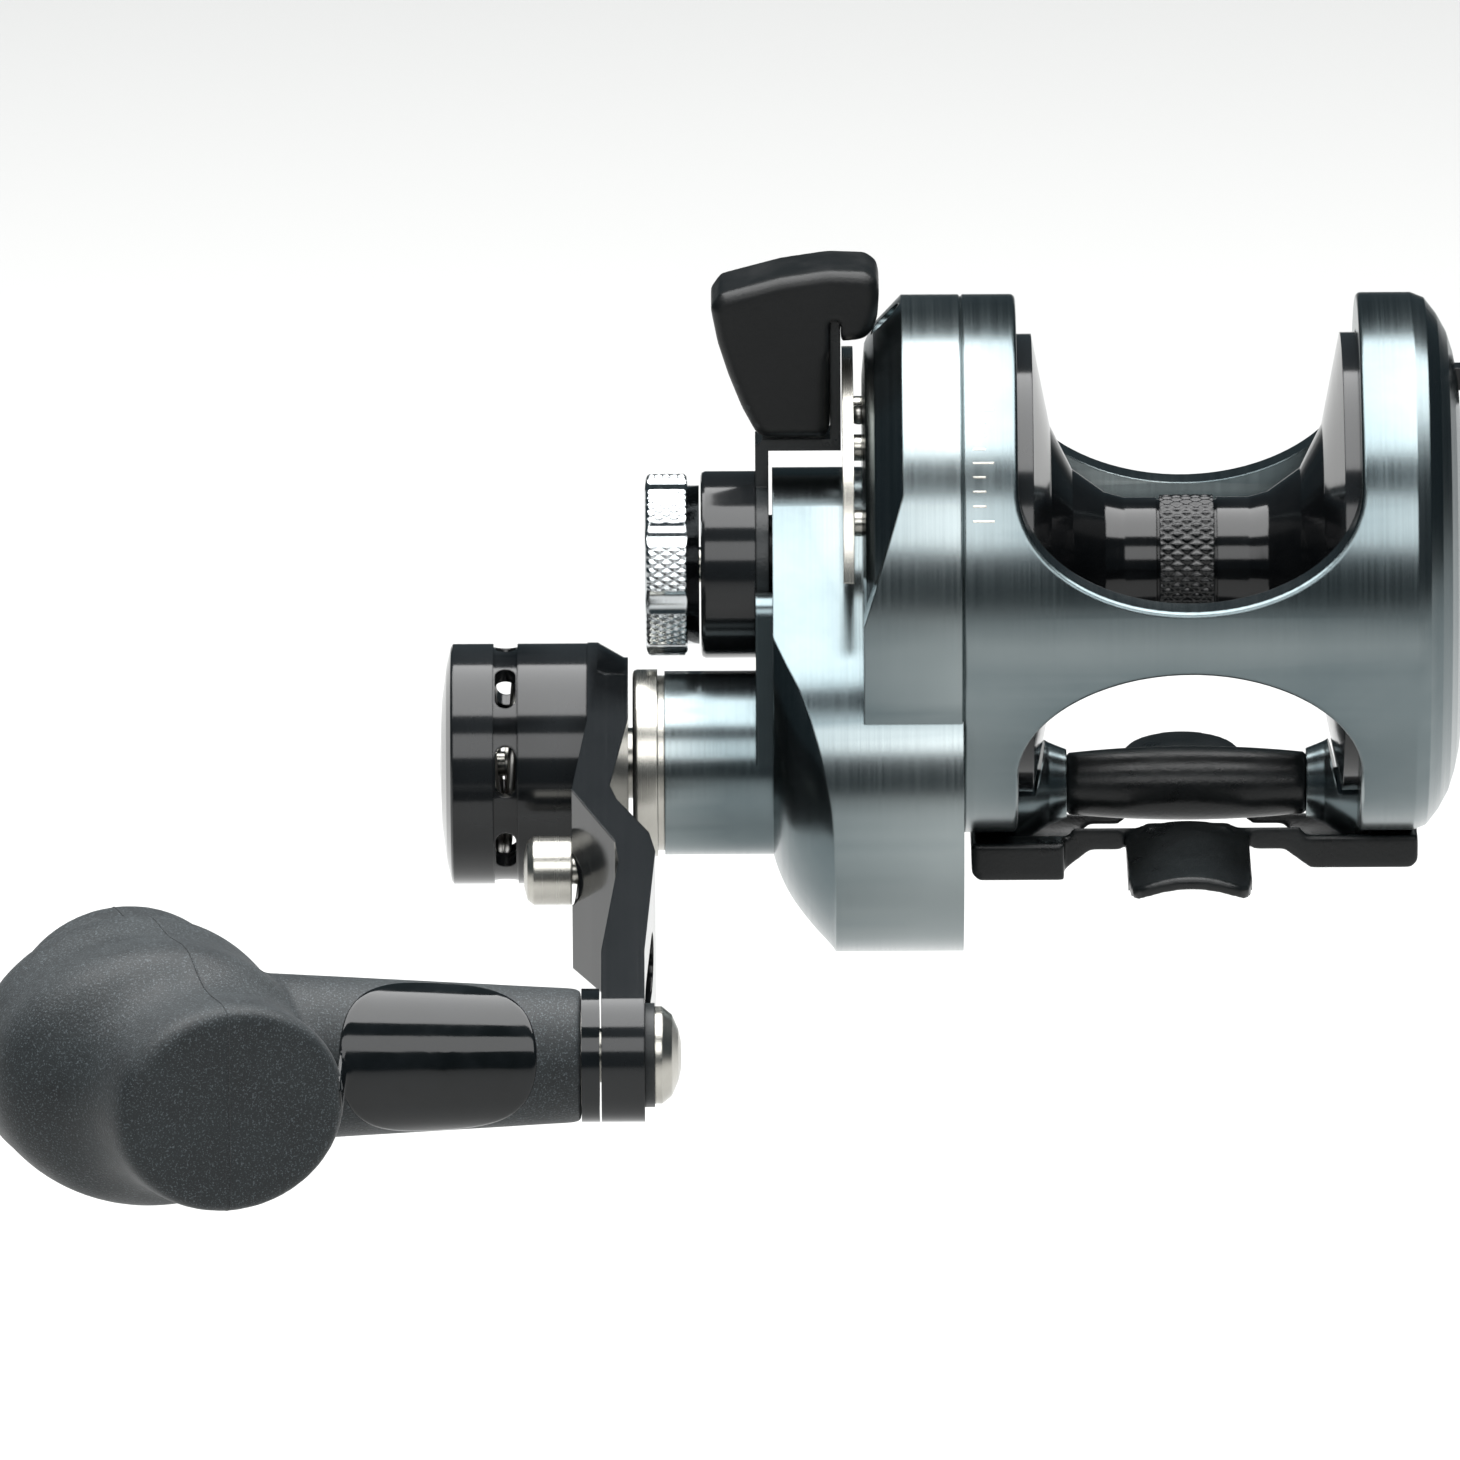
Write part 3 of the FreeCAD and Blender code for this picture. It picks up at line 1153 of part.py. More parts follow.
os.makedirs("parts", exist_ok=True)
for name, make in nodes.items():
    shape = make()
    if shape.ShapeType == "Compound" and len(shape.Solids) == 1:
        shape = shape.Solids[0]
    shape.exportStep("parts/" + name + ".step")
    print(name, shape.ShapeType, len(shape.Solids), shape.isValid(), round(shape.Volume, 2))
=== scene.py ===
import bpy
import bmesh
import json
import math
from mathutils import Matrix, Vector
from mathutils.bvhtree import BVHTree


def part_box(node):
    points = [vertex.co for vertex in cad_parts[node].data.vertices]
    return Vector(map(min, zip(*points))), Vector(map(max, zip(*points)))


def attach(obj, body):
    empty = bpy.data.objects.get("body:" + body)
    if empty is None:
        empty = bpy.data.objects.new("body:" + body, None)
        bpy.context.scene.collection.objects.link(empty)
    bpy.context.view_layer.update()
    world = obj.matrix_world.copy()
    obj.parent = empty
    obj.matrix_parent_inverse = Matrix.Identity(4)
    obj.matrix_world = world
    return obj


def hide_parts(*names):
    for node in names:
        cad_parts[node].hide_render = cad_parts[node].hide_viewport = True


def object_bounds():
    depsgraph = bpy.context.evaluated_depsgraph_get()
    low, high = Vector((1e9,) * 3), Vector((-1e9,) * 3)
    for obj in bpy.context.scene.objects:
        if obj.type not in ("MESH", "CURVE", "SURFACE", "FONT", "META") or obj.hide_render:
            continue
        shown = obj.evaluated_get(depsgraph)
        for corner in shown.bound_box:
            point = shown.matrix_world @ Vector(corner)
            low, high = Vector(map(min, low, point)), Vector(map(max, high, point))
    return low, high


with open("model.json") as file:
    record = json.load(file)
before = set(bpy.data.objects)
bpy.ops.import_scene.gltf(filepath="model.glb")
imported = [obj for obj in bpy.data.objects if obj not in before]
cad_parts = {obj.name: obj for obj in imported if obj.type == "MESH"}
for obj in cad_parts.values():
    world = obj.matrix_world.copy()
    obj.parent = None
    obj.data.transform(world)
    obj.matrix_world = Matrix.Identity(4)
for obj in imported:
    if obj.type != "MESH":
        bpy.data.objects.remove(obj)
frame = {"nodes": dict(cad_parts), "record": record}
cadBounds = [list(corner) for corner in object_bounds()]
nodes = frame["nodes"]
mm = 0.001
brokenEdge = 0.28 * mm    # radius that sharp edges shade with
rayStart = 60 * mm    # from outside any piece


# helpers

def linear(hexText):
    parts = [int(hexText[i:i + 2], 16) / 255 for i in (1, 3, 5)]
    return tuple(c / 12.92 if c <= 0.04045 else ((c + 0.055) / 1.055) ** 2.4 for c in parts) + (1.0,)


def addNode(tree, kind, settings=None, links=None):
    node = tree.nodes.new("ShaderNode" + kind)
    for name, value in (settings or {}).items():
        if isinstance(name, int) or name in node.inputs:
            node.inputs[name].default_value = value
        else:
            setattr(node, name, value)
    for name, source in (links or {}).items():
        tree.links.new(source, node.inputs[name])
    return node


def startMaterial(name, settings):
    material = bpy.data.materials.new(name)
    material.use_nodes = True
    tree = material.node_tree
    tree.nodes.clear()
    shader = addNode(tree, "BsdfPrincipled", settings)
    addNode(tree, "OutputMaterial", {}, {"Surface": shader.outputs[0]})
    place = addNode(tree, "TexCoord").outputs["Object"]
    return material, tree, shader, place


def rampOf(tree, source, low, high, lowValue, highValue):
    # a value carried from one range to another
    settings = {"From Min": low, "From Max": high, "To Min": lowValue, "To Max": highValue}
    return addNode(tree, "MapRange", settings, {"Value": source}).outputs[0]


def stretched(tree, place, scale):
    return addNode(tree, "Mapping", {"Scale": scale}, {"Vector": place}).outputs[0]


def wear(tree, place, size, low, high):
    # soft uneven patches, as handling leaves
    noise = addNode(tree, "TexNoise", {"Scale": 1 / size, "Detail": 4.0, "Roughness": 0.6},
                    {"Vector": place})
    return rampOf(tree, noise.outputs["Fac"], 0.35, 0.65, low, high)


def edgeWear(tree, amount):
    # convex edges, where a finish thins first
    point = addNode(tree, "NewGeometry").outputs["Pointiness"]
    return rampOf(tree, point, 0.52, 0.60, 0.0, amount)


def mixColour(tree, factor, first, second):
    node = addNode(tree, "Mix", {"data_type": "RGBA"})
    tree.links.new(factor, node.inputs[0])
    for socket, value in ((node.inputs[6], first), (node.inputs[7], second)):
        if isinstance(value, tuple):
            socket.default_value = value
        else:
            tree.links.new(value, socket)
    return node.outputs[2]


def bumpFrom(tree, shader, height, strength, depth):
    # fine relief, over edges that shade as if broken by a small radius
    edge = addNode(tree, "Bevel", {"samples": 4, "Radius": brokenEdge})
    bump = addNode(tree, "Bump", {"Strength": strength, "Distance": depth},
                   {"Height": height, "Normal": edge.outputs[0]})
    tree.links.new(bump.outputs[0], shader.inputs["Normal"])


# materials

anodised = {"colour": "#5e696c", "wornColour": "#6f787a", "roughness": (0.2, 0.27), "lineWidth": 0.4 * mm}


def anodisedAluminium(name, spec):
    # turned aluminium, satin anodised: a tinted metal mirror, softened, with faint turning lines round X
    material, tree, shader, place = startMaterial(name, {"Metallic": 1.0})
    lines = addNode(tree, "TexNoise", {"Scale": 1.0, "Detail": 3.0, "Roughness": 0.7},
                    {"Vector": stretched(tree, place, (1 / spec["lineWidth"], 6.0, 6.0))})
    cloud = wear(tree, place, 9 * mm, 0.0, 0.35)
    tint = mixColour(tree, cloud, linear(spec["colour"]), linear(spec["wornColour"]))
    tint = mixColour(tree, edgeWear(tree, 0.5), tint, linear("#a4abab"))
    tree.links.new(tint, shader.inputs["Base Color"])
    rough = rampOf(tree, lines.outputs["Fac"], 0.3, 0.7, *spec["roughness"])
    tree.links.new(rough, shader.inputs["Roughness"])
    bumpFrom(tree, shader, lines.outputs["Fac"], 0.04, 0.015 * mm)
    return material


blackAnodised = {"colour": "#050607", "wornColour": "#0b0c0d", "roughness": (0.09, 0.13), "lineWidth": 0.35 * mm}


def glossBlackAnodised(name, spec):
    # turned aluminium, dyed black and sealed: a dark glassy oxide skin over fine turning lines
    material, tree, shader, place = startMaterial(name, {"IOR": 1.5, "Specular IOR Level": 0.35})
    lines = addNode(tree, "TexNoise", {"Scale": 1.0, "Detail": 3.0, "Roughness": 0.7},
                    {"Vector": stretched(tree, place, (1 / spec["lineWidth"], 5.0, 5.0))})
    cloud = wear(tree, place, 7 * mm, 0.0, 1.0)
    tint = mixColour(tree, cloud, linear(spec["colour"]), linear(spec["wornColour"]))
    tint = mixColour(tree, edgeWear(tree, 0.3), tint, linear("#2a2d2f"))
    tree.links.new(tint, shader.inputs["Base Color"])
    tree.links.new(rampOf(tree, lines.outputs["Fac"], 0.3, 0.7, *spec["roughness"]), shader.inputs["Roughness"])
    bumpFrom(tree, shader, lines.outputs["Fac"], 0.03, 0.015 * mm)
    return material


casting = {"colour": "#080a0b", "wornColour": "#0f1213", "grain": 0.42 * mm, "roughness": (0.26, 0.38)}


def blackCasting(name, spec):
    # die-cast and powder painted black: an orange-peel skin that breaks up the highlight
    material, tree, shader, place = startMaterial(name, {"IOR": 1.5, "Specular IOR Level": 0.3})
    grain = addNode(tree, "TexNoise", {"Scale": 1 / spec["grain"], "Detail": 3.0, "Roughness": 0.55},
                    {"Vector": place})
    cloud = wear(tree, place, 5 * mm, 0.0, 1.0)
    tint = mixColour(tree, cloud, linear(spec["colour"]), linear(spec["wornColour"]))
    tint = mixColour(tree, edgeWear(tree, 0.3), tint, linear("#33383a"))
    tree.links.new(tint, shader.inputs["Base Color"])
    tree.links.new(rampOf(tree, cloud, 0.0, 1.0, *spec["roughness"]), shader.inputs["Roughness"])
    bumpFrom(tree, shader, grain.outputs["Fac"], 0.5, 0.06 * mm)
    return material


leverPlastic = {"colour": "#050708", "wornColour": "#090b0c", "grain": 0.3 * mm, "roughness": (0.36, 0.46)}

steel = {"colour": "#aaa8a1", "wornColour": "#bab8b1", "lineWidth": 0.14 * mm, "roughness": (0.25, 0.28)}


def brushedStainless(name, spec):
    # stainless steel, turned or linished: warm grey metal with fine lines
    material, tree, shader, place = startMaterial(name, {"Metallic": 1.0})
    lines = addNode(tree, "TexNoise", {"Scale": 1.0, "Detail": 4.0, "Roughness": 0.7},
                    {"Vector": stretched(tree, place, (1 / spec["lineWidth"], 12.0, 12.0))})
    cloud = wear(tree, place, 4 * mm, 0.0, 0.6)
    tint = mixColour(tree, cloud, linear(spec["colour"]), linear(spec["wornColour"]))
    tree.links.new(tint, shader.inputs["Base Color"])
    tree.links.new(rampOf(tree, lines.outputs["Fac"], 0.3, 0.7, *spec["roughness"]), shader.inputs["Roughness"])
    bumpFrom(tree, shader, lines.outputs["Fac"], 0.01, 0.005 * mm)
    return material


chrome = {"colour": "#c6cacc", "wornColour": "#b0b5b7", "lineWidth": 0.3 * mm, "roughness": (0.08, 0.14)}

rubber = {"colour": "#161a1c", "wornColour": "#1d2224", "fleck": "#586064", "fleckSize": 0.22 * mm,
          "grain": 0.3 * mm}


def speckledRubber(name, spec):
    # rubberised grip, moulded with a fine grit: a soft dark grey sheen with pale flecks
    material, tree, shader, place = startMaterial(name, {"IOR": 1.5, "Sheen Weight": 0.06, "Sheen Roughness": 0.5,
                                                         "Specular IOR Level": 0.3})
    flecks = addNode(tree, "TexNoise", {"Scale": 1 / spec["fleckSize"], "Detail": 2.0, "Roughness": 0.8},
                     {"Vector": place})
    fleckMask = rampOf(tree, flecks.outputs["Fac"], 0.56, 0.66, 0.0, 0.6)
    cloud = wear(tree, place, 6 * mm, 0.0, 1.0)
    base = mixColour(tree, cloud, linear(spec["colour"]), linear(spec["wornColour"]))
    tree.links.new(mixColour(tree, fleckMask, base, linear(spec["fleck"])), shader.inputs["Base Color"])
    tree.links.new(rampOf(tree, cloud, 0.0, 1.0, 0.5, 0.62), shader.inputs["Roughness"])
    grain = addNode(tree, "TexNoise", {"Scale": 1 / spec["grain"], "Detail": 2.0}, {"Vector": place})
    bumpFrom(tree, shader, grain.outputs["Fac"], 0.7, 0.07 * mm)
    return material


glossPlastic = {"colour": "#0a0d0e", "roughness": (0.07, 0.13)}


def mouldedGloss(name, spec):
    # polished moulded plastic: near black, with a clear sharp highlight
    material, tree, shader, place = startMaterial(name, {"IOR": 1.5, "Specular IOR Level": 0.35})
    cloud = wear(tree, place, 5 * mm, 0.0, 1.0)
    tree.links.new(mixColour(tree, cloud, linear(spec["colour"]), linear("#111416")), shader.inputs["Base Color"])
    tree.links.new(rampOf(tree, cloud, 0.0, 1.0, *spec["roughness"]), shader.inputs["Roughness"])
    return material


# second is the lighter tow colour: a painted sheen on the same fibre as the darker tow
carbon = {"colour": "#141516", "second": "#2b2d2f", "tow": 1.0 * mm}


def wovenCarbon(name, spec):
    # carbon friction disc, woven: the two tows are painted in a darker and a lighter colour, a painted sheen for the
    # light that each tow catches in turn
    material, tree, shader, place = startMaterial(name, {"IOR": 1.5, "Roughness": 0.4})
    # checker of a darker and a lighter tow colour, the lighter one a painted sheen; the same checker also drives the
    # weave's bump
    weaveAndSheen = addNode(tree, "TexChecker", {"Scale": 1 / spec["tow"], "Color1": linear(spec["colour"]),
                                         "Color2": linear(spec["second"])}, {"Vector": place})
    tree.links.new(weaveAndSheen.outputs["Color"], shader.inputs["Base Color"])
    bumpFrom(tree, shader, weaveAndSheen.outputs["Fac"], 0.3, 0.05 * mm)
    return material


sealRubber = {"colour": "#070809", "wornColour": "#0e0f10", "grain": 0.25 * mm, "roughness": (0.5, 0.65)}

finishes = {
    "anodised_frame": anodisedAluminium("anodisedAluminium", anodised),
    "black_anodise": glossBlackAnodised("glossBlackAnodised", blackAnodised),
    "black_casting": blackCasting("powderPaintedCasting", casting),
    "lever_plastic": blackCasting("mouldedNylon", leverPlastic),
    "stainless": brushedStainless("satinStainless", steel),
    "chrome": brushedStainless("polishedChrome", chrome),
    "grip_rubber": speckledRubber("speckledGripRubber", rubber),
    "grip_gloss": mouldedGloss("polishedPlastic", glossPlastic),
    "drag_disc": wovenCarbon("wovenCarbonDiscPaintedSheen", carbon),
    "gear_steel": brushedStainless("machinedSteel", {"colour": "#a9a8a4", "wornColour": "#bfbdb8",
                                                     "lineWidth": 0.4 * mm, "roughness": (0.25, 0.4)}),
    "seal_rubber": blackCasting("nitrileRubber", sealRubber),
}
bodyOf = {name: body for body, names in frame["record"]["behaviour"]["bodies"].items() for name in names}
slotOf = {subpart["node"]: subpart["material_slot"] for subpart in frame["record"]["subparts"]}
for subpart in frame["record"]["subparts"]:
    cadNode = nodes[subpart["node"]]
    cadNode.data.materials.clear()
    cadNode.data.materials.append(finishes[subpart["material_slot"]])
print("materials done")


# pieces

def addPiece(name, mesh, nodeName, slot=None, stands=True):
    piece = bpy.data.objects.new(name, mesh)
    bpy.context.scene.collection.objects.link(piece)
    mesh.polygons.foreach_set("use_smooth", [True] * len(mesh.polygons))
    mesh.materials.clear()
    mesh.materials.append(finishes[slot or slotOf[nodeName]])
    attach(piece, bodyOf[nodeName])
    if stands:
        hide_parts(nodeName)
    return piece


def meshOf(name, points, faces):
    mesh = bpy.data.meshes.new(name)
    mesh.from_pydata(points, [], faces)
    work = bmesh.new()
    work.from_mesh(mesh)
    bmesh.ops.remove_doubles(work, verts=work.verts, dist=1e-7)
    bmesh.ops.recalc_face_normals(work, faces=work.faces)
    work.to_mesh(mesh)
    work.free()
    return mesh


def softened(name, spec):
    # the machined shape with its edges rounded over, as a mould or a tumbler leaves them
    nodeName = spec["node"]
    work = bmesh.new()
    work.from_mesh(nodes[nodeName].data)
    bmesh.ops.remove_doubles(work, verts=work.verts, dist=1e-6)
    mesh = bpy.data.meshes.new(name)
    work.to_mesh(mesh)
    work.free()
    rough = bpy.data.objects.new(name + "Rough", mesh)
    bpy.context.scene.collection.objects.link(rough)
    remesh = rough.modifiers.new("remesh", "REMESH")
    remesh.mode = "VOXEL"
    remesh.voxel_size = spec["voxel"]
    smooth = rough.modifiers.new("smooth", "SMOOTH")
    smooth.factor = 0.5
    smooth.iterations = spec["steps"]
    graph = bpy.context.evaluated_depsgraph_get()
    done = bpy.data.meshes.new_from_object(rough.evaluated_get(graph))
    bpy.data.objects.remove(rough)
    return addPiece(name, done, nodeName)


softPieces = {
    "roundedFoot": {"node": "reel_foot", "voxel": 0.28 * mm, "steps": 12},
    "roundedLeverKnob": {"node": "lever_knob", "voxel": 0.22 * mm, "steps": 34},
    "roundedGrip": {"node": "grip", "voxel": 0.45 * mm, "steps": 18},
}
soft = {name: softened(name, spec) for name, spec in softPieces.items()}
print("rounded pieces done")


def centreOf(nodeName):
    low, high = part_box(nodeName)
    return (Vector(low) + Vector(high)) / 2


def groove(value, share):
    # one V groove for each unit of value; share is the part of the pitch that it takes
    off = abs(value - round(value))
    return max(0.0, 1 - off / (share / 2))


def diamond(around, along, pitch, share):
    # two crossed sets of grooves, 30 degrees either side of the axis
    slope = math.tan(math.radians(30))
    return max(groove((around + along * slope) / pitch, share), groove((around - along * slope) / pitch, share))


def turnedMesh(name, rows, steps, radiusAt, centre):
    # rows of (x, radius); radiusAt gives the radius of a row at an angle
    points = []
    for x, radius in rows:
        for step in range(steps):
            angle = 2 * math.pi * step / steps
            r = radiusAt(x, radius, angle)
            points.append((x, centre.y + r * math.cos(angle), centre.z + r * math.sin(angle)))
    faces = []
    for row in range(len(rows) - 1):
        for step in range(steps):
            after = (step + 1) % steps
            here, above = row * steps, (row + 1) * steps
            faces.append((here + step, here + after, above + after, above + step))
    return meshOf(name, points, faces)


presetKnob = {"pads": 8, "firstScallop": 10.0, "scallopRadius": 3.4 * mm, "scallopOut": 2.9 * mm,
              "pitch": 1.0 * mm, "depth": 0.24 * mm, "margin": 0.35 * mm, "steps": 720}


def addPresetKnob(spec):
    low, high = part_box("preset_knob")
    centre = centreOf("preset_knob")
    radius = (high[1] - low[1]) / 2
    endX, neckX = low[0], high[0]
    startX = neckX - 1.3 * mm
    reach = radius + spec["scallopOut"]

    def surface(x, rowRadius, angle):
        turn = math.degrees(angle) - spec["firstScallop"]
        each = 360 / spec["pads"]
        off = math.radians((turn + each / 2) % each - each / 2)
        side = reach * math.sin(off)
        r = rowRadius
        cut = radius
        if abs(side) < spec["scallopRadius"]:
            cut = reach * math.cos(off) - math.sqrt(spec["scallopRadius"] ** 2 - side ** 2)
        if cut < radius:
            r = min(r, cut)
        elif rowRadius > radius - 0.05 * mm:
            r -= spec["depth"] * diamond(angle * radius, x, spec["pitch"], 0.55)
        return r

    rows = [(neckX, 0.0021), (neckX, radius - 1.3 * mm), (startX, radius - 1.3 * mm), (startX, radius - 0.5 * mm),
            (startX - 0.1 * mm, radius - 0.22 * mm), (startX - 0.3 * mm, radius - 0.06 * mm)]
    count = 30
    top, bottom = startX - spec["margin"], endX + 0.6 * mm
    rows += [(top + (bottom - top) * row / count, radius) for row in range(count + 1)]
    rows += [(endX + 0.3 * mm, radius - 0.2 * mm), (endX + 0.1 * mm, radius - 0.6 * mm), (endX, radius - 1.4 * mm),
             (endX, 0.0045), (endX + 0.35 * mm, 0.0042), (endX + 0.35 * mm, 0.0021)]
    mesh = turnedMesh("knurledPresetKnob", rows, spec["steps"], surface, centre)
    addPiece("knurledPresetKnob", mesh, "preset_knob")


addPresetKnob(presetKnob)

spoolKnurl = {"halfWidth": 3.05 * mm, "low": 7.3 * mm, "high": 7.68 * mm, "pitch": 1.25 * mm,
              "depth": 0.3 * mm, "steps": 380}


def addSpoolKnurl(spec):
    # raised band round the spool's middle that keeps the first turns of line from slipping
    centre = centreOf("spool")
    half, high = spec["halfWidth"], spec["high"]

    def surface(x, rowRadius, angle):
        if rowRadius < high:
            return rowRadius
        return high - spec["depth"] * diamond(angle * high, x, spec["pitch"], 0.6)

    count = 34
    rows = [(-half, spec["low"]), (-half, high - 0.15 * mm)]
    rows += [(-half + 0.1 * mm + (2 * half - 0.2 * mm) * row / count, high) for row in range(count + 1)]
    rows += [(half, high - 0.15 * mm), (half, spec["low"])]
    mesh = turnedMesh("spoolKnurl", [(centre.x + x, r) for x, r in rows], spec["steps"], surface, centre)
    addPiece("spoolKnurl", mesh, "spool", stands=False)


addSpoolKnurl(spoolKnurl)

crossbar = {"bulge": 0.7 * mm, "lip": 0.3 * mm, "rows": 24, "steps": 96}


def addCrossbar(spec):
    # slim barrel with broken end edges
    low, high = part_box("lower_crossbar")
    centre = centreOf("lower_crossbar")
    half = (high[0] - low[0]) / 2
    radius = (high[2] - low[2]) / 2
    flank = half - spec["lip"]
    ends = [(half, 0.2 * mm), (half, radius - spec["bulge"] - spec["lip"])]
    barrel = []
    for row in range(spec["rows"] + 1):
        along = -flank + 2 * flank * row / spec["rows"]
        barrel.append((along, radius - spec["bulge"] * (along / flank) ** 2))
    rows = [(-x, r) for x, r in ends] + barrel + ends[::-1]
    mesh = turnedMesh("barrelCrossbar", [(centre.x + x, r) for x, r in rows], spec["steps"],
                      lambda x, rowRadius, angle: rowRadius, centre)
    addPiece("barrelCrossbar", mesh, "lower_crossbar")


addCrossbar(crossbar)
print("knurls done")

gripLook = {"yaw": 18.0, "insetMiddle": 25.8 * mm, "insetHalf": 10.9 * mm, "insetTurn": 78.0, "insetRise": 0.16 * mm,
            "lineWidth": 0.32 * mm, "lineRise": 0.07 * mm}


def gripSurface():
    work = bmesh.new()
    work.from_mesh(soft["roundedGrip"].data)
    tree = BVHTree.FromBMesh(work)
    work.free()
    return tree


def addNeckInset(name, spec, tree, facing):
    # polished oval let into the side of the neck
    low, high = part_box("grip_collar")
    axis = centreOf("grip_collar")
    middleX = low[0] - spec["insetMiddle"] + 10.0 * mm
    rings, steps = 14, 96
    points, faces = [], []

    def onSkin(share, angle, rise):
        c, s = math.cos(angle), math.sin(angle)
        power = 2 / 2.15    # a little squarer than an ellipse
        u = math.copysign(abs(c) ** power, c) * share
        v = math.copysign(abs(s) ** power, s) * share
        x = middleX + u * spec["insetHalf"]
        turn = math.radians(facing + v * spec["insetTurn"])
        out = Vector((0, math.cos(turn), math.sin(turn)))
        start = Vector((x, axis.y, axis.z)) + out * 30 * mm
        hit, normal, index, distance = tree.ray_cast(start, -out)
        return hit + normal * rise if hit else Vector((x, axis.y, axis.z)) + out * 8 * mm

    shares = [1.0, 1.0, 0.985, 0.96] + [0.93 * (rings - ring) / rings for ring in range(rings)]
    rises = [-0.3 * mm, 0.02 * mm, 0.8 * spec["insetRise"], spec["insetRise"]] + [spec["insetRise"]] * rings
    for share, rise in zip(shares, rises):
        points += [onSkin(share, 2 * math.pi * step / steps, rise) for step in range(steps)]
    for ring in range(len(shares) - 1):
        for step in range(steps):
            after = (step + 1) % steps
            here, above = ring * steps, (ring + 1) * steps
            faces.append((here + step, here + after, above + after, above + step))
    points.append(onSkin(0.0, 0.0, spec["insetRise"]))
    last = (len(shares) - 1) * steps
    faces += [(last + step, last + (step + 1) % steps, len(points) - 1) for step in range(steps)]
    addPiece(name, meshOf(name, points, faces), "grip", slot="grip_gloss", stands=False)


def addMouldLine(spec, tree):
    # flash line where the two halves of the grip's mould met
    low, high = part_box("grip")
    yaw = math.radians(spec["yaw"])
    ahead = Vector((math.sin(yaw), -math.cos(yaw), 0))
    across = Vector((math.cos(yaw), math.sin(yaw), 0))
    axis = centreOf("grip_collar")
    middle = Vector((low[0] + 20.0 * mm, axis.y, axis.z))
    points, faces = [], []
    steps = 260
    half, crest, sunk = spec["lineWidth"] / 2, spec["lineRise"], -0.05 * mm
    profile = ((-half, sunk), (-half * 0.4, crest), (half * 0.4, crest), (half, sunk))
    for step in range(steps):
        angle = 2 * math.pi * step / steps
        out = ahead * math.cos(angle) + Vector((0, 0, 1)) * math.sin(angle)
        for side, rise in profile:
            start = middle + across * side + out * rayStart
            hit, normal, index, distance = tree.ray_cast(start, -out)
            points.append(hit + normal * rise if hit else start)
    for step in range(steps):
        after = (step + 1) % steps
        here, there = step * 4, after * 4
        faces += [(here + row, here + row + 1, there + row + 1, there + row) for row in range(3)]
        faces.append((here + 3, here, there, there + 3))
    addPiece("gripMouldLine", meshOf("gripMouldLine", points, faces), "grip", stands=False)


skin = gripSurface()
addNeckInset("neckInsetFront", gripLook, skin, 180 - 15)
addNeckInset("neckInsetBack", gripLook, skin, 0 - 15)
addMouldLine(gripLook, skin)
print("grip done")

dialTicks = {"count": 9, "start": 24.0, "step": 3.2, "length": 1.5 * mm, "longLength": 2.4 * mm,
             "width": 0.26 * mm, "rise": 0.03 * mm, "inset": 1.1 * mm, "radius": 30 * mm}


def addDialTicks(spec):
    # plain bright marks set into the frame's rim beside the side plate
    low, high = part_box("handle_side_plate")
    centre = centreOf("spool")
    startX = high[0] + spec["inset"]
    work = bmesh.new()
    work.from_mesh(nodes["frame"].data)
    tree = BVHTree.FromBMesh(work)
    work.free()
    points, faces = [], []
    for tick in range(spec["count"]):
        length = spec["longLength"] if tick % 4 == 0 else spec["length"]
        base = len(points)
        for along in (0.0, length):
            for side in (-0.5, 0.5):
                for rise in (-0.05 * mm, spec["rise"]):
                    turn = side * spec["width"] / spec["radius"]
                    angle = math.radians(spec["start"] + spec["step"] * tick) + turn
                    out = Vector((0, -math.cos(angle), math.sin(angle)))
                    start = Vector((startX + along, centre.y, centre.z)) + out * 40 * mm
                    hit, normal, index, distance = tree.ray_cast(start, -out)
                    points.append(hit + out * rise)
        faces += [tuple(base + corner for corner in face) for face in
                  ((0, 1, 3, 2), (4, 6, 7, 5), (0, 4, 5, 1), (2, 3, 7, 6), (1, 5, 7, 3), (0, 2, 6, 4))]
    piece = addPiece("dialTicks", meshOf("dialTicks", points, faces), "frame", slot="stainless", stands=False)
    piece.data.polygons.foreach_set("use_smooth", [False] * len(piece.data.polygons))


addDialTicks(dialTicks)


# stage

view = {"target": (-51.8 * mm, -4.97 * mm, 13.6 * mm), "tilt": 15.6, "distance": 2.8, "lens": 609.0, "roll": -0.3}


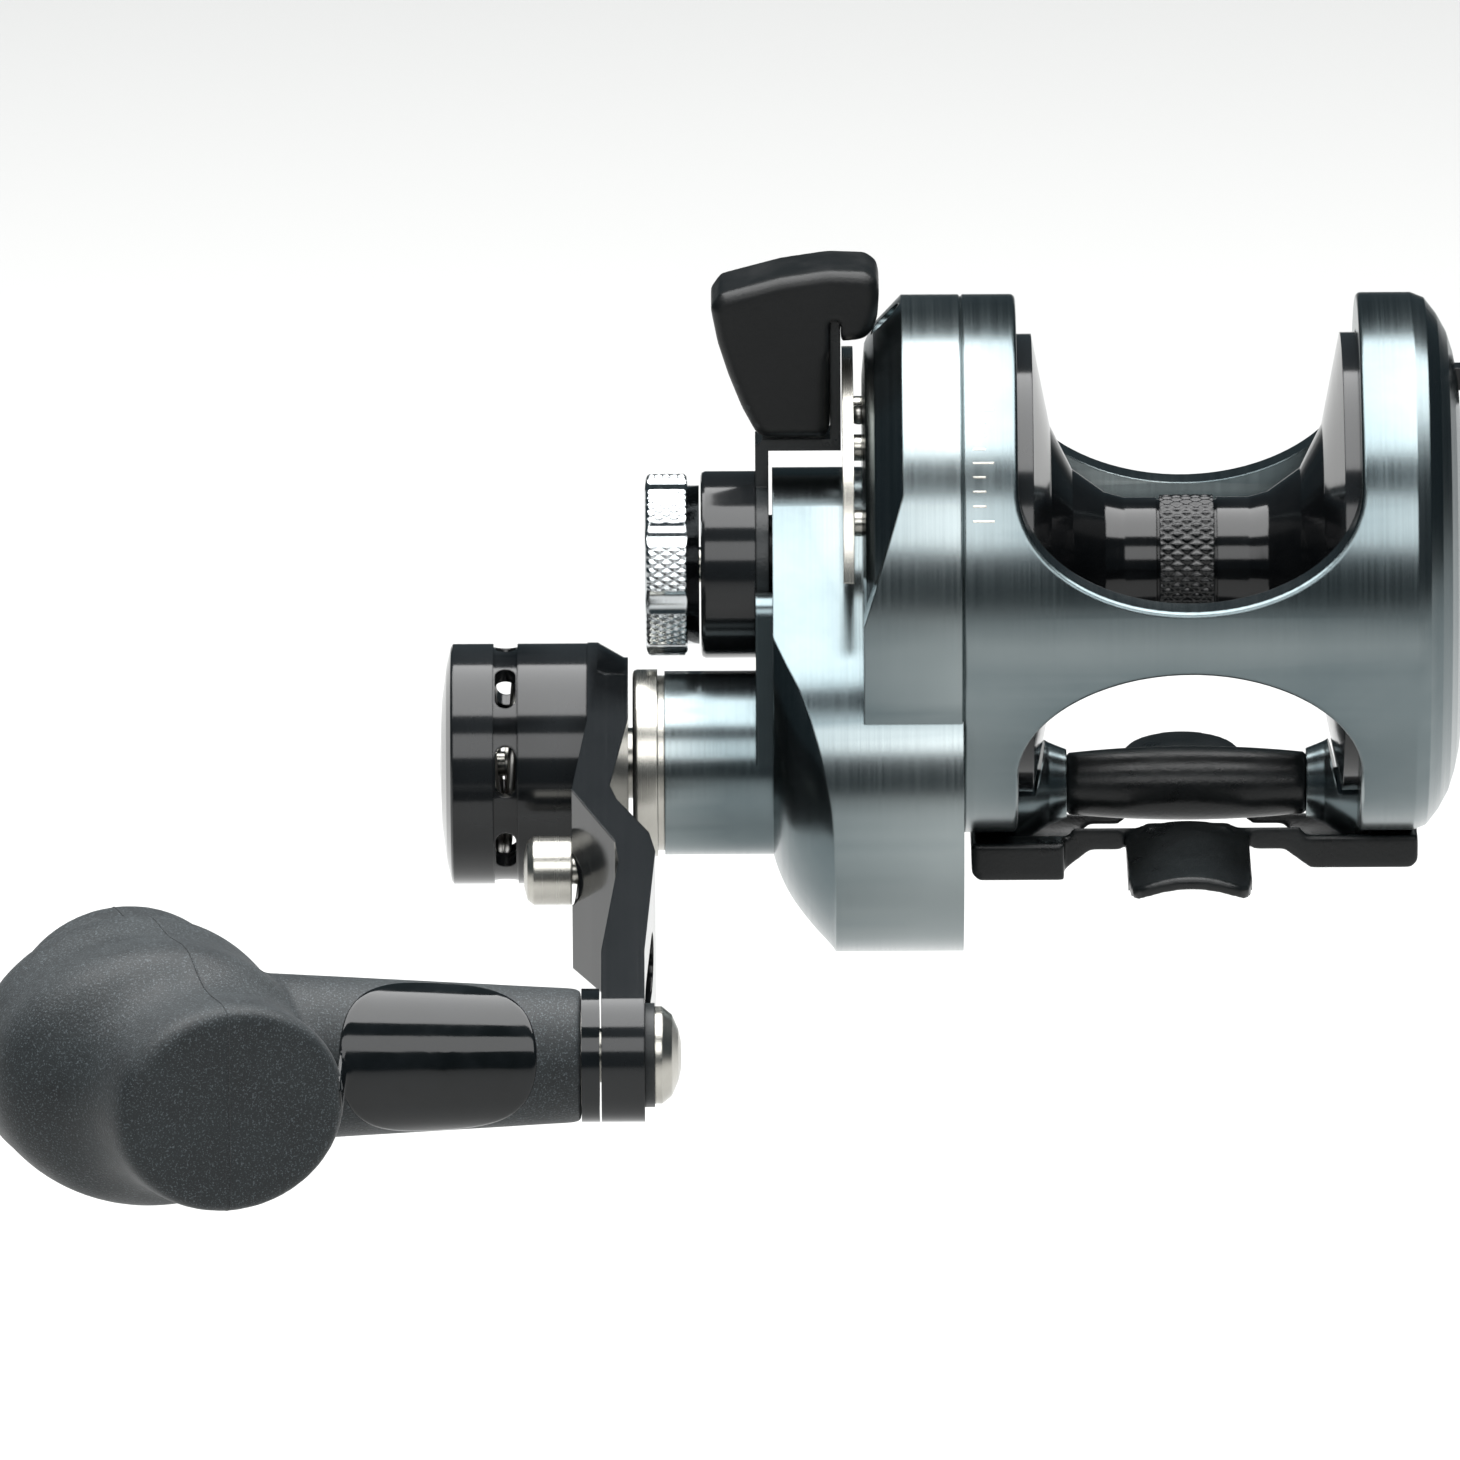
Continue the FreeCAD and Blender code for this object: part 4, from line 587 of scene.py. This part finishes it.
def addCamera(spec):
    tilt = math.radians(spec["tilt"])
    camera = bpy.data.objects.new("camera", bpy.data.cameras.new("camera"))
    bpy.context.scene.collection.objects.link(camera)
    back = Vector((0, -math.cos(tilt), math.sin(tilt)))
    camera.location = Vector(spec["target"]) + back * spec["distance"]
    turn = back.to_track_quat("Z", "Y").to_matrix().to_4x4()
    camera.rotation_euler = (turn @ Matrix.Rotation(math.radians(spec["roll"]), 4, "Z")).to_euler()
    camera.data.lens = spec["lens"]
    camera.data.sensor_width = 36.0
    camera.data.clip_end = 50.0
    bpy.context.scene.camera = camera


floorSpec = {"size": 7.0, "colour": "#b0b0af", "drop": 95.0 * mm}


def addFloor(spec):
    low = cadBounds[0][2] - spec["drop"]
    half = spec["size"] / 2
    mesh = bpy.data.meshes.new("floor")
    corners = [(-half, -half, low), (half, -half, low), (half, half, low), (-half, half, low)]
    mesh.from_pydata(corners, [], [(0, 1, 2, 3)])
    floor = bpy.data.objects.new("floor", mesh)
    bpy.context.scene.collection.objects.link(floor)
    settings = {"Roughness": 0.9, "Base Color": linear(spec["colour"])}
    floor.data.materials.append(startMaterial("paleFloor", settings)[0])


softBoxes = [
    # angle is up from the front; height is across the light's path
    {"name": "overheadBox", "angle": 93.5, "distance": 0.9, "width": 1.5, "height": 1.1, "power": 38.0},
    {"name": "frontBox", "angle": 32.5, "distance": 1.4, "width": 1.5, "height": 0.57, "power": 11.0},
    # lights the floor behind and stays out of the metal's reflections
    {"name": "backBox", "angle": 130.0, "distance": 1.4, "width": 2.2, "height": 1.2, "power": 16.0,
     "mirrored": False},
]
studio = {"wall": "#384348", "strength": 1.0, "transform": "Standard"}


def addLights():
    centre = Vector(view["target"])
    for spec in softBoxes:
        data = bpy.data.lights.new(spec["name"], "AREA")
        data.shape = "RECTANGLE"
        data.size, data.size_y = spec["width"], spec["height"]
        data.energy = spec["power"]
        light = bpy.data.objects.new(spec["name"], data)
        light.visible_glossy = spec.get("mirrored", True)
        bpy.context.scene.collection.objects.link(light)
        angle = math.radians(spec["angle"])
        away = Vector((0, -math.cos(angle), math.sin(angle)))
        light.location = centre + away * spec["distance"]
        light.rotation_euler = away.to_track_quat("Z", "Y").to_euler()
    world = bpy.data.worlds.new("studio")
    bpy.context.scene.world = world
    world.use_nodes = True
    background = world.node_tree.nodes["Background"]
    background.inputs[0].default_value = linear(studio["wall"])
    background.inputs[1].default_value = studio["strength"]
    bpy.context.scene.view_settings.view_transform = studio["transform"]


addCamera(view)
addFloor(floorSpec)
addLights()
print("stage done")
